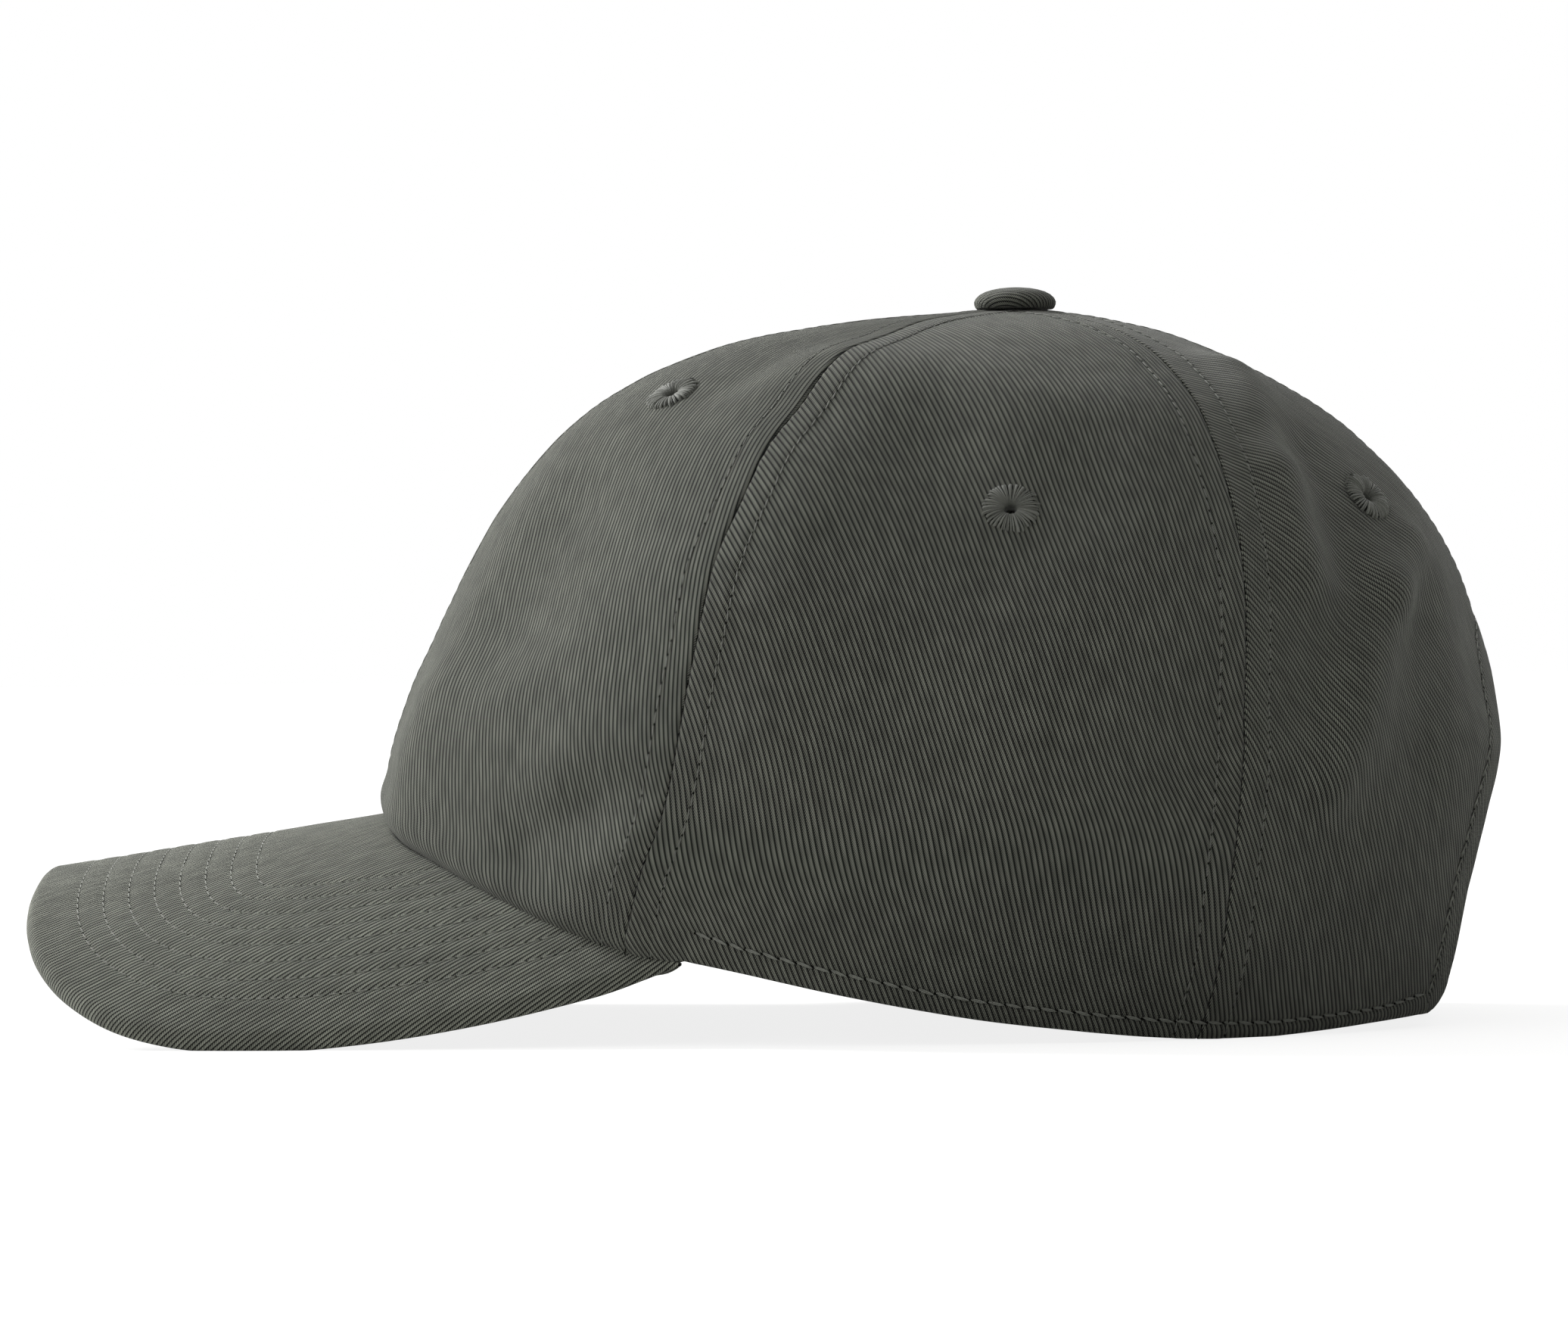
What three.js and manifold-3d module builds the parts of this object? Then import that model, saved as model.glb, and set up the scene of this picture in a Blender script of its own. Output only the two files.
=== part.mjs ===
// A soft six-panel cap with a curved visor, resting by itself on its rim and on the visor's edge.
// Millimetres, +Z up. The visor points along -Y and the wearer's left is +X.
// Angles run round the crown from the front, 0, over the wearer's left, 90, to the back, 180.

import * as THREE from "three";
import { mergeVertices } from "three/addons/utils/BufferGeometryUtils.js";
import Module from "manifold-3d";

const wasm = await Module();
wasm.setup();

// Cloth thicknesses and the clearance kept between neighbouring pieces
const GAP = 0.3;
const CROWN_WALL = 1.2;
const BAND_WALL = 1.0;
const BAND_GAP = 0.5;
const STRAP_WALL = 1.4;

// Fineness of the faceted walls
const FRONT_COLUMNS = 11;
const SIDE_COLUMNS = 12;
const BACK_COLUMNS = 10;
const PANEL_ROWS = 20;
const ARCH_ROWS = 12;
const ABOVE_ARCH_ROWS = 12;
const VISOR_COLUMNS = 36;
const VISOR_ROWS = 6;
const BAND_COLUMNS = 52;
const BAND_ROWS = 4;
const EYELET_SIDES = 12;
const BUTTON_SIDES = 20;
const BUCKLE_CORNER_SEGMENTS = 3;
// How far the rows over the arch crowd towards its ends: 0 is even, 1 follows a half turn
const ARCH_CROWDING = 0.5;
// Corners nearer than this are one corner
const WELD = 1e-4;
// Half steps that the surface's slopes are taken over, in degrees round the crown and in levels up it
const STEP = { angle: 0.5, level: 0.02 };
const EYELET_STEP = { angle: 2, level: 0.15 };
const HALVINGS = 32;

// The middle of the crown's top, and the radius left open there for the button's shank
const APEX_Y = 45.4;
const TOP_OPENING = 3.3;

// Horizontal sections of the crown, from the floor up. Each one is half a squarish oval in front and half
// an ellipse behind, which meet at the widest place. The seam columns are the angles of the side panels' seams.
const SECTIONS = [
  { z: 0.0, front: -68.8, back: 126.6, half: 80.0, widest: 30.0, square: 2.3, seamFront: 57.2, seamBack: 116.5 },
  { z: 13.0, front: -69.8, back: 129.9, half: 81.8, widest: 30.4, square: 2.3, seamFront: 57.2, seamBack: 117.9 },
  { z: 26.0, front: -70.6, back: 132.0, half: 83.4, widest: 31.4, square: 2.3, seamFront: 58.6, seamBack: 118.2 },
  { z: 38.0, front: -71.4, back: 133.8, half: 84.8, widest: 33.0, square: 2.28, seamFront: 60.9, seamBack: 118.2 },
  { z: 49.5, front: -70.0, back: 135.0, half: 85.2, widest: 35.0, square: 2.2, seamFront: 61.3, seamBack: 118.0 },
  { z: 61.0, front: -66.3, back: 132.4, half: 84.2, widest: 37.5, square: 2.12, seamFront: 60.4, seamBack: 118.1 },
  { z: 72.0, front: -61.3, back: 129.0, half: 81.8, widest: 39.5, square: 2.06, seamFront: 59.8, seamBack: 118.5 },
  { z: 83.0, front: -56.1, back: 125.2, half: 77.8, widest: 41.5, square: 2.0, seamFront: 59.1, seamBack: 118.8 },
  { z: 93.6, front: -50.0, back: 119.2, half: 71.8, widest: 43.0, square: 2.0, seamFront: 59.6, seamBack: 119.3 },
  { z: 103.0, front: -42.8, back: 111.0, half: 63.8, widest: 44.0, square: 2.0, seamFront: 60.0, seamBack: 120.6 },
  { z: 110.6, front: -35.0, back: 102.3, half: 55.2, widest: 44.6, square: 2.0, seamFront: 61.4, seamBack: 122.7 },
  { z: 116.6, front: -26.4, back: 92.7, half: 45.8, widest: 45.0, square: 2.0, seamFront: 62.4, seamBack: 125.2 },
  { z: 121.4, front: -16.4, back: 83.6, half: 36.4, widest: 45.2, square: 2.0, seamFront: 63.2, seamBack: 127.4 },
  { z: 125.3, front: -3.6, back: 73.6, half: 26.8, widest: 45.3, square: 2.0, seamFront: 63.0, seamBack: 128.2 },
  { z: 128.0, front: 13.2, back: 62.8, half: 16.6, widest: 45.4, square: 2.0, seamFront: 61.6, seamBack: 127.4 },
  { z: 129.6, front: 31.2, back: 54.0, half: 7.6, widest: 45.4, square: 2.0, seamFront: 60.6, seamBack: 126.0 },
  { z: 130.2, front: 45.4, back: 45.4, half: 0.0, widest: 45.4, square: 2.0, seamFront: 60.0, seamBack: 125.0 },
];

// Height of the crown's free edge above the floor, from the visor's corner round to the back opening
const RIM = [
  { angle: 63.5, z: 14.6 },
  { angle: 68.0, z: 13.0 },
  { angle: 80.0, z: 8.3 },
  { angle: 92.0, z: 4.4 },
  { angle: 104.0, z: 1.8 },
  { angle: 112.0, z: 0.5 },
  { angle: 119.0, z: 0.0 },
  { angle: 126.0, z: 0.0 },
  { angle: 134.0, z: 0.7 },
  { angle: 144.0, z: 1.9 },
  { angle: 153.0, z: 3.5 },
];

// Folds of the cloth, as soft ridges (height over 0) and valleys (under 0) from one place to another
const FOLDS = [
  { name: "front slant ridge, upper", from: [45, 104], to: [49, 84], width: 9, height: 1.6 },
  { name: "front slant ridge, lower", from: [49, 84], to: [37, 60], width: 10, height: 1.8 },
  { name: "front hollow", from: [29, 92], to: [29, 74], width: 13, height: -1.4 },
  { name: "front ridge by the centre", from: [23, 60], to: [26, 48], width: 9, height: 1.0 },
  { name: "front dent over the visor", from: [53, 49], to: [46, 40], width: 8, height: -1.8 },
  { name: "front ridge by the seam", from: [57, 48], to: [55, 36], width: 7, height: 1.0 },
  { name: "front ridge by the top", from: [46, 114], to: [57, 123], width: 5, height: 1.0 },
  { name: "side valley", from: [73, 108], to: [78, 58], width: 14, height: -2.0 },
  { name: "side swell", from: [84, 74], to: [94, 48], width: 17, height: 1.6 },
  { name: "side hollow behind the eyelet", from: [99, 106], to: [97, 98], width: 9, height: -1.0 },
  { name: "side hollow above the rim", from: [112, 54], to: [100, 28], width: 15, height: -1.6 },
  { name: "side swell by the front seam", from: [70, 50], to: [73, 42], width: 10, height: 1.0 },
  { name: "back ridge, upper", from: [144, 117], to: [131, 95], width: 6, height: 2.2 },
  { name: "back ridge, lower", from: [131, 95], to: [132, 82], width: 6, height: 1.8 },
  { name: "back hollow", from: [139, 106], to: [137, 84], width: 9, height: -2.2 },
  { name: "back ridge under the eyelet", from: [152, 88], to: [144, 75], width: 6, height: 2.0 },
  { name: "back ridge, long", from: [144, 75], to: [131, 42], width: 7, height: 2.2 },
  { name: "back valley by the opening", from: [152, 72], to: [142, 46], width: 8, height: -2.0 },
  { name: "back valley by the side seam", from: [129, 74], to: [125, 58], width: 8, height: -1.4 },
  { name: "back swell at the opening", from: [166, 70], to: [162, 64], width: 8, height: 1.0 },
];

// The arch cut out of the back, with its rounded lower corners
const ARCH = { halfWidth: 32, top: 66.5, spring: 6, corner: 5, foot: 3.5 };

// The visor: its arched top surface, its thickness, and half of its outline in plan, from tip to corner.
// The edge is rounded, and stands out past the outline by half the thickness.
const VISOR = { seamY: -71, seamZ: 39.1, slope: 0.151, archRadius: 100, thickness: 3.4 };
const VISOR_CORNER = { angle: 63.2, thickness: 1.2, taper: 11 };
const VISOR_OUTLINE = [
  { x: 0.0, y: -131.1 },
  { x: 18.0, y: -131.4 },
  { x: 34.0, y: -131.4 },
  { x: 44.0, y: -130.2 },
  { x: 52.0, y: -127.8 },
  { x: 59.2, y: -123.5 },
  { x: 66.4, y: -115.3 },
  { x: 71.3, y: -104.0 },
  { x: 74.2, y: -89.0 },
  { x: 75.5, y: -70.0 },
  { x: 75.4, y: -50.0 },
  { x: 74.2, y: -32.0 },
  { x: 72.9, y: -20.0 },
];

// The stitched air holes, one in each panel: where they sit on the wearer's left
const EYELETS = [
  { name: "front", angle: 34.0, z: 114.3 },
  { name: "side", angle: 89.2, z: 94.2 },
  { name: "back", angle: 147.0, z: 94.4 },
];
const EYELET = { hole: 1.0, shank: 2.2, rim: 4.7, proud: 1.0, clothHole: 2.6, drill: 10 };
const EYELET_BACK = { rim: 3.8, gap: 0.6, proud: 0.6, bevel: 0.5 };
// The ring's rounded outer face: the radius, and the height as a share of how proud it stands
const EYELET_CREST = [
  { radius: 4.45, height: 0.6 },
  { radius: 3.45, height: 1.0 },
  { radius: 1.95, height: 0.95 },
  { radius: 1.0, height: 0.3 },
];

// The cloth-covered button: radius, heights, and the shank and disc that hold it
const BUTTON = { radius: 7.5, top: 134.3, foot: 130.3, shank: 2.9 };
const BUTTON_DISC = { radius: 6.2, top: 128.2, foot: 127.2 };
// The button's domed outline, as shares of its radius and of its height from the top down
const BUTTON_DOME = [
  { out: 0.0, down: 0.0 },
  { out: 0.4, down: 0.05 },
  { out: 0.7, down: 0.19 },
  { out: 0.91, down: 0.42 },
  { out: 1.0, down: 0.68 },
  { out: 0.97, down: 0.9 },
  { out: 0.9, down: 1.0 },
];

// The band inside the rim. It stands clear of a fold by a share of the fold's height.
const BAND = { height: 28, lift: 0.8, endAngle: 142.5, clearOfFolds: 0.35 };
// In front the band reaches lower, behind the visor's seam
const BAND_SINK = { depth: 3.3, fromAngle: 58, toAngle: 66 };

// The strap across the back opening and the slide buckle on it
const STRAP = { low: 7.5, high: 27.5, flatY: 119.8, behindPanel: 0.4, blend: 1.0 };
const BUCKLE = { halfLength: 13, bar: 2.4, centreBar: 3.0, slot: 21, depth: 1.6, round: 2.0 };
const STRAP_STATIONS = [46, 41, 37, 34, 31, 28, 24, 19, 14, 10.3, 9, 7.5, 6, 4.5, 3.2, 2.2, 0];

const rad = THREE.MathUtils.degToRad;
const LAST = SECTIONS.length - 1;
// The crown's lower edge lies under this level everywhere
const EDGE_LIMIT = LAST / 2;

// The row past either end of the table, so that the curves run on smoothly: past the top it is the mirror image
function sectionRow(i) {
  if (i > LAST) {
    const row = SECTIONS[LAST - 1];
    const turned = { front: 2 * APEX_Y - row.front, back: 2 * APEX_Y - row.back, half: -row.half };
    return { ...row, ...turned };
  }
  return SECTIONS[Math.max(i, 0)];
}

function catmullRom(a, b, c, d, t) {
  const cubic = -a + 3 * b - 3 * c + d;
  const square = 2 * a - 5 * b + 4 * c - d;
  return 0.5 * (2 * b + (c - a) * t + square * t * t + cubic * t * t * t);
}

// The crown's section at a level, which counts the rows of SECTIONS and may lie between two of them
function sectionAt(level) {
  const clamped = THREE.MathUtils.clamp(level, 0, LAST - 1e-9);
  const i = Math.floor(clamped);
  const rows = [sectionRow(i - 1), sectionRow(i), sectionRow(i + 1), sectionRow(i + 2)];
  const section = {};
  for (const key of Object.keys(SECTIONS[0])) {
    section[key] = catmullRom(...rows.map((row) => row[key]), clamped - i);
  }
  return section;
}

function bisect(low, high, isPast) {
  for (let i = 0; i < HALVINGS; i++) {
    const middle = (low + high) / 2;
    if (isPast(middle)) high = middle;
    else low = middle;
  }
  return (low + high) / 2;
}

const levelAtHeight = (z) => bisect(0, LAST, (level) => sectionAt(level).z > z);

// A point of the crown without its folds
function crownBase(angle, level) {
  const s = sectionAt(level);
  const sin = Math.sin(rad(angle));
  const cos = Math.cos(rad(angle));
  if (cos < 0) return new THREE.Vector3(s.half * sin, s.widest - (s.back - s.widest) * cos, s.z);
  const reach = Math.pow(Math.pow(cos, s.square) + Math.pow(Math.abs(sin), s.square), -1 / s.square);
  return new THREE.Vector3(s.half * sin * reach, s.widest - (s.widest - s.front) * cos * reach, s.z);
}

function crownNormal(angle, level) {
  const inside = Math.min(level, LAST - 2 * STEP.level);
  const round = crownBase(angle + STEP.angle, inside).sub(crownBase(angle - STEP.angle, inside));
  const up = crownBase(angle, inside + STEP.level).sub(crownBase(angle, inside - STEP.level));
  return round.cross(up).normalize();
}

const FOLD_LINES = FOLDS.map((fold) => ({
  ...fold,
  line: new THREE.Line3(
    crownBase(fold.from[0], levelAtHeight(fold.from[1])),
    crownBase(fold.to[0], levelAtHeight(fold.to[1])),
  ),
}));

// How far the folds push the cloth out at a place, given on the wearer's left
function foldHeight(place) {
  const nearest = new THREE.Vector3();
  let height = 0;
  for (const fold of FOLD_LINES) {
    fold.line.closestPointToPoint(place, true, nearest);
    height += fold.height * Math.exp(-Math.pow(nearest.distanceTo(place) / fold.width, 2));
  }
  return height;
}

// A point of the crown on the wearer's left, folds and all, a given depth inside its outer face
function crownPoint(angle, level, depth) {
  const base = crownBase(angle, level);
  return base.addScaledVector(crownNormal(angle, level), foldHeight(base) - depth);
}

// A smooth curve through a table's rows, by the slope between each row's neighbours
function smoothTable(table, keyX, keyY, x) {
  const last = table.length - 1;
  const at = THREE.MathUtils.clamp(x, table[0][keyX], table[last][keyX]);
  let i = 0;
  while (i < last - 1 && at > table[i + 1][keyX]) i++;
  const slope = (k) => {
    const before = table[Math.max(k - 1, 0)];
    const after = table[Math.min(k + 1, last)];
    return (after[keyY] - before[keyY]) / (after[keyX] - before[keyX]);
  };
  const span = table[i + 1][keyX] - table[i][keyX];
  const t = (at - table[i][keyX]) / span;
  const rise = table[i + 1][keyY] - table[i][keyY];
  const bend = t * t * (3 - 2 * t);
  const leave = span * slope(i) * t * (1 - t) * (1 - t);
  const arrive = -span * slope(i + 1) * t * t * (1 - t);
  return table[i][keyY] + rise * bend + leave + arrive;
}

const rimHeight = (angle) => smoothTable(RIM, "angle", "z", angle);

function visorTop(x, y) {
  const drop = VISOR.archRadius - Math.sqrt(VISOR.archRadius ** 2 - x * x);
  return VISOR.seamZ + VISOR.slope * (y - VISOR.seamY) - drop;
}

// Height at which the crown's cloth ends: on the visor in front, at the free rim elsewhere
function edgeHeight(angle, point) {
  if (angle < VISOR_CORNER.angle) return visorTop(point.x, point.y) + GAP;
  return rimHeight(angle);
}

// A closed solid through loops of points. Both ends are closed by strips across the loop, whose first half
// runs one way and whose second half runs back beside it.
function loft(loops) {
  const size = loops[0].length;
  const index = [];
  for (let i = 0; i < loops.length - 1; i++) {
    for (let j = 0; j < size; j++) {
      const next = (j + 1) % size;
      const [a, b] = [i * size + j, i * size + next];
      const [c, d] = [a + size, b + size];
      index.push(a, b, d, a, d, c);
    }
  }
  const cap = (first, flip) => {
    for (let k = 0; 2 * k < size - 2; k++) {
      const [a, b, c, d] = [first + k, first + k + 1, first + size - 2 - k, first + size - 1 - k];
      const triangles = b === c ? [[a, b, d]] : [[a, b, c], [a, c, d]];
      for (const t of triangles) index.push(...(flip ? t.reverse() : t));
    }
  };
  cap(0, true);
  cap((loops.length - 1) * size, false);
  const geometry = new THREE.BufferGeometry();
  const corners = loops.flat().flatMap((point) => point.toArray());
  geometry.setAttribute("position", new THREE.Float32BufferAttribute(corners, 3));
  geometry.setIndex(index);
  return facingOut(geometry);
}

// Turns every triangle over when the solid is inside out
function facingOut(geometry) {
  const position = geometry.getAttribute("position");
  const index = geometry.getIndex().array;
  const [a, b, c] = [new THREE.Vector3(), new THREE.Vector3(), new THREE.Vector3()];
  let volume = 0;
  for (let i = 0; i < index.length; i += 3) {
    a.fromBufferAttribute(position, index[i]);
    b.fromBufferAttribute(position, index[i + 1]);
    c.fromBufferAttribute(position, index[i + 2]);
    volume += a.dot(b.cross(c));
  }
  if (volume < 0) geometry.setIndex([...index].reverse());
  return geometry;
}

// The same solid with shared corners and nothing but positions
function welded(geometry) {
  const bare = geometry.clone();
  bare.deleteAttribute("normal");
  bare.deleteAttribute("uv");
  return mergeVertices(bare, WELD);
}

function mirrored(geometry) {
  const copy = geometry.clone().scale(-1, 1, 1);
  copy.setIndex([...copy.getIndex().array].reverse());
  return copy;
}

function toSolid(geometry) {
  const bare = welded(geometry);
  const vertProperties = new Float32Array(bare.getAttribute("position").array);
  const triVerts = new Uint32Array(bare.getIndex().array);
  return new wasm.Manifold(new wasm.Mesh({ numProp: 3, vertProperties, triVerts }));
}

function fromSolid(solid) {
  const mesh = solid.getMesh();
  const geometry = new THREE.BufferGeometry();
  geometry.setAttribute("position", new THREE.BufferAttribute(mesh.vertProperties, 3));
  geometry.setIndex(new THREE.BufferAttribute(mesh.triVerts, 1));
  return geometry;
}

const seamFront = (level) => sectionAt(level).seamFront;
const seamBack = (level) => sectionAt(level).seamBack;

// Half the width of the back opening at a height, with the rounded corner at its foot
function archHalfWidth(z) {
  const up = THREE.MathUtils.clamp((z - ARCH.spring) / (ARCH.top - ARCH.spring), 0, 1);
  const inCorner = THREE.MathUtils.clamp(ARCH.corner - (z - ARCH.foot), 0, ARCH.corner);
  const cornerFlare = ARCH.corner - Math.sqrt(ARCH.corner ** 2 - inCorner ** 2);
  return ARCH.halfWidth * Math.sqrt(1 - up * up) + cornerFlare;
}

// The back panel's inner boundary: the opening's edge below the arch's top and the centre seam above it
function archOrCentre(level) {
  const s = sectionAt(level);
  if (s.z >= ARCH.top) return 180;
  return 180 - THREE.MathUtils.radToDeg(Math.asin(archHalfWidth(s.z) / s.half));
}

// The angle that leaves half a gap beside a seam, however narrow the crown is there
function besideSeam(angle, level, side) {
  const width = crownBase(angle + STEP.angle, level).distanceTo(crownBase(angle - STEP.angle, level));
  return angle + (side * GAP * STEP.angle) / width;
}

// The topmost level of a panel, on the edge of the opening under the button
const TOP_LEVEL = bisect(LAST - 2, LAST, (level) => sectionAt(level).half < TOP_OPENING);

// One crown panel of the wearer's left, as loops that go up its outer face and down its inner face
function panel(from, to, columns, heights) {
  const loops = [];
  for (let i = 0; i <= columns; i++) {
    const angleAt = (level) => THREE.MathUtils.lerp(from(level), to(level), i / columns);
    const face = (depth) => {
      const pointAt = (level) => crownPoint(angleAt(level), level, depth);
      const foot = bisect(0, EDGE_LIMIT, (level) => {
        const point = pointAt(level);
        return point.z > edgeHeight(angleAt(level), point);
      });
      return heights(foot).map(pointAt);
    };
    loops.push([...face(0), ...face(CROWN_WALL).reverse()]);
  }
  return loft(loops);
}

function evenHeights(foot) {
  const heightOf = (_, k) => THREE.MathUtils.lerp(foot, TOP_LEVEL, k / PANEL_ROWS);
  return Array.from({ length: PANEL_ROWS + 1 }, heightOf);
}

// Rows for the back panels: closer together where the arch turns, with one row at the arch's top
function archHeights(foot) {
  const archTop = levelAtHeight(ARCH.top);
  const levels = [];
  for (let k = 0; k < ARCH_ROWS; k++) {
    const even = k / ARCH_ROWS;
    const crowded = (1 - Math.cos(Math.PI * even)) / 2;
    const part = THREE.MathUtils.lerp(even, crowded, ARCH_CROWDING);
    levels.push(THREE.MathUtils.lerp(foot, archTop, part));
  }
  for (let k = 0; k <= ABOVE_ARCH_ROWS; k++) {
    levels.push(THREE.MathUtils.lerp(archTop, TOP_LEVEL, k / ABOVE_ARCH_ROWS));
  }
  return levels;
}

// Turns a shape made round +Y so that it stands on the crown's cloth at an eyelet
function placedAtEyelet(geometry, { angle, z }) {
  const level = levelAtHeight(z);
  const place = crownPoint(angle, level, 0);
  const { angle: aside, level: rise } = EYELET_STEP;
  const round = crownPoint(angle + aside, level, 0).sub(crownPoint(angle - aside, level, 0));
  const up = crownPoint(angle, level + rise, 0).sub(crownPoint(angle, level - rise, 0));
  const outward = round.cross(up).normalize();
  const turn = new THREE.Quaternion().setFromUnitVectors(new THREE.Vector3(0, 1, 0), outward);
  return geometry.applyQuaternion(turn).translate(place.x, place.y, place.z);
}

function lathe(profile, sides) {
  return facingOut(welded(new THREE.LatheGeometry(profile.map(([r, h]) => new THREE.Vector2(r, h)), sides)));
}

// A stitched ring on the cloth's outer face, a lower one inside, and the lining of the hole between them
function eyelet(spot) {
  const e = EYELET;
  const back = EYELET_BACK;
  const inside = -CROWN_WALL - back.gap;
  const profile = [
    [e.hole, inside - back.proud],
    [back.rim - back.bevel, inside - back.proud],
    [back.rim, inside],
    [e.shank, inside],
    [e.shank, GAP],
    [e.rim, GAP],
    ...EYELET_CREST.map(({ radius, height }) => [radius, GAP + e.proud * height]),
    [e.hole, inside - back.proud],
  ];
  return placedAtEyelet(lathe(profile, EYELET_SIDES), spot);
}

function withEyeletHole(geometry, spot) {
  const drill = new THREE.CylinderGeometry(EYELET.clothHole, EYELET.clothHole, EYELET.drill, EYELET_SIDES);
  return fromSolid(toSolid(geometry).subtract(toSolid(placedAtEyelet(drill, spot))));
}

function button() {
  const b = BUTTON;
  const disc = BUTTON_DISC;
  const rise = b.top - b.foot;
  const profile = [
    ...BUTTON_DOME.map(({ out, down }) => [b.radius * out, b.top - rise * down]),
    [b.shank, b.foot],
    [b.shank, disc.top],
    [disc.radius, disc.top],
    [disc.radius, disc.foot],
    [0, disc.foot],
  ];
  return lathe(profile, BUTTON_SIDES).rotateX(Math.PI / 2).translate(0, APEX_Y, 0);
}

function visor() {
  const half = VISOR_OUTLINE.map(({ x, y }) => new THREE.Vector3(x, y, 0));
  const otherHalf = VISOR_OUTLINE.slice(1).map(({ x, y }) => new THREE.Vector3(-x, y, 0));
  const outline = new THREE.CatmullRomCurve3([...otherHalf.reverse(), ...half]);
  const length = outline.getLength();
  const edge = outline.getSpacedPoints(VISOR_COLUMNS);
  const loops = edge.map((outer, i) => {
    const along = i / VISOR_COLUMNS;
    const angle = THREE.MathUtils.lerp(-VISOR_CORNER.angle, VISOR_CORNER.angle, along);
    const level = bisect(0, EDGE_LIMIT, (l) => {
      const point = crownPoint(Math.abs(angle), l, CROWN_WALL);
      return point.z > visorTop(point.x, point.y);
    });
    const inner = crownPoint(Math.abs(angle), level, CROWN_WALL);
    if (angle < 0) inner.x = -inner.x;
    const fromCorner = Math.min(along, 1 - along) * length;
    const full = THREE.MathUtils.smoothstep(fromCorner, 0, VISOR_CORNER.taper);
    const thickness = THREE.MathUtils.lerp(VISOR_CORNER.thickness, VISOR.thickness, full);
    const row = (k, drop) => {
      const point = new THREE.Vector3().lerpVectors(inner, outer, k / VISOR_ROWS);
      return point.setZ(visorTop(point.x, point.y) - drop);
    };
    const top = Array.from({ length: VISOR_ROWS + 1 }, (_, k) => row(k, 0));
    const bottom = Array.from({ length: VISOR_ROWS + 1 }, (_, k) => row(k, thickness));
    const edgeLine = outline.getTangentAt(along);
    const outward = new THREE.Vector3(-edgeLine.y, edgeLine.x, 0).multiplyScalar(-1);
    outward.z = visorTop(outer.x + outward.x, outer.y + outward.y) - visorTop(outer.x, outer.y);
    const onTop = outer.clone().setZ(visorTop(outer.x, outer.y) - thickness / 2);
    const rim = onTop.addScaledVector(outward.normalize(), thickness / 2);
    return [...top, rim, ...bottom.reverse()];
  });
  return loft(loops);
}

function sweatband() {
  const loops = [];
  const sink = BAND_SINK;
  const outerDepth = CROWN_WALL + BAND_GAP;
  for (let i = 0; i <= BAND_COLUMNS; i++) {
    const signed = THREE.MathUtils.lerp(-BAND.endAngle, BAND.endAngle, i / BAND_COLUMNS);
    const angle = Math.abs(signed);
    const sunk = sink.depth * (1 - THREE.MathUtils.smoothstep(angle, sink.fromAngle, sink.toAngle));
    const footLevel = bisect(0, EDGE_LIMIT, (level) => {
      const point = crownPoint(angle, level, outerDepth);
      return point.z > edgeHeight(angle, point) + BAND.lift - sunk;
    });
    const foot = sectionAt(footLevel).z;
    const heights = Array.from({ length: BAND_ROWS + 1 }, (_, k) => foot + (k / BAND_ROWS) * BAND.height);
    const levels = heights.map(levelAtHeight);
    const pointAt = (level, depth) => {
      const clear = BAND.clearOfFolds * Math.abs(foldHeight(crownBase(angle, level)));
      return crownPoint(angle, level, depth + clear);
    };
    const face = (depth) => levels.map((level) => pointAt(level, depth));
    const loop = [...face(outerDepth), ...face(outerDepth + BAND_WALL).reverse()];
    if (signed < 0) loop.forEach((point) => point.setX(-point.x));
    loops.push(loop);
  }
  return loft(loops);
}

// Where the strap leaves the panels it runs straight across: the lower of the two, with a soft bend between
function strapY(panelY, flatY) {
  const k = STRAP.blend;
  return -k * Math.log(Math.exp(-panelY / k) + Math.exp(-flatY / k));
}

// The strap passes behind the buckle's end bars and over its centre bar
function strapRise(x) {
  const over = BUCKLE.depth + 2 * GAP + STRAP_WALL;
  const slotEnd = BUCKLE.halfLength - BUCKLE.bar - GAP;
  const slotStart = BUCKLE.centreBar / 2 + 2 * GAP;
  return over * (1 - THREE.MathUtils.smoothstep(Math.abs(x), slotStart, slotEnd));
}

function backStrap() {
  const stations = [...STRAP_STATIONS, ...STRAP_STATIONS.slice(0, -1).reverse().map((x) => -x)];
  const loops = stations.map((x) => {
    const corner = (z, depth) => {
      const level = levelAtHeight(z);
      const angle = 180 - THREE.MathUtils.radToDeg(Math.asin(Math.abs(x) / sectionAt(level).half));
      const onPanel = crownPoint(angle, level, CROWN_WALL + STRAP.behindPanel + depth);
      const y = strapY(onPanel.y, STRAP.flatY - depth) + strapRise(x);
      return new THREE.Vector3(Math.sign(x) * onPanel.x, y, z);
    };
    const { low, high } = STRAP;
    return [corner(low, 0), corner(high, 0), corner(high, STRAP_WALL), corner(low, STRAP_WALL)];
  });
  return loft(loops);
}

function roundedRectangle(target, x0, x1, y0, y1, round) {
  target.moveTo(x0 + round, y0);
  target.lineTo(x1 - round, y0);
  target.absarc(x1 - round, y0 + round, round, -Math.PI / 2, 0);
  target.lineTo(x1, y1 - round);
  target.absarc(x1 - round, y1 - round, round, 0, Math.PI / 2);
  target.lineTo(x0 + round, y1);
  target.absarc(x0 + round, y1 - round, round, Math.PI / 2, Math.PI);
  target.lineTo(x0, y0 + round);
  target.absarc(x0 + round, y0 + round, round, Math.PI, 1.5 * Math.PI);
  return target;
}

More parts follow.
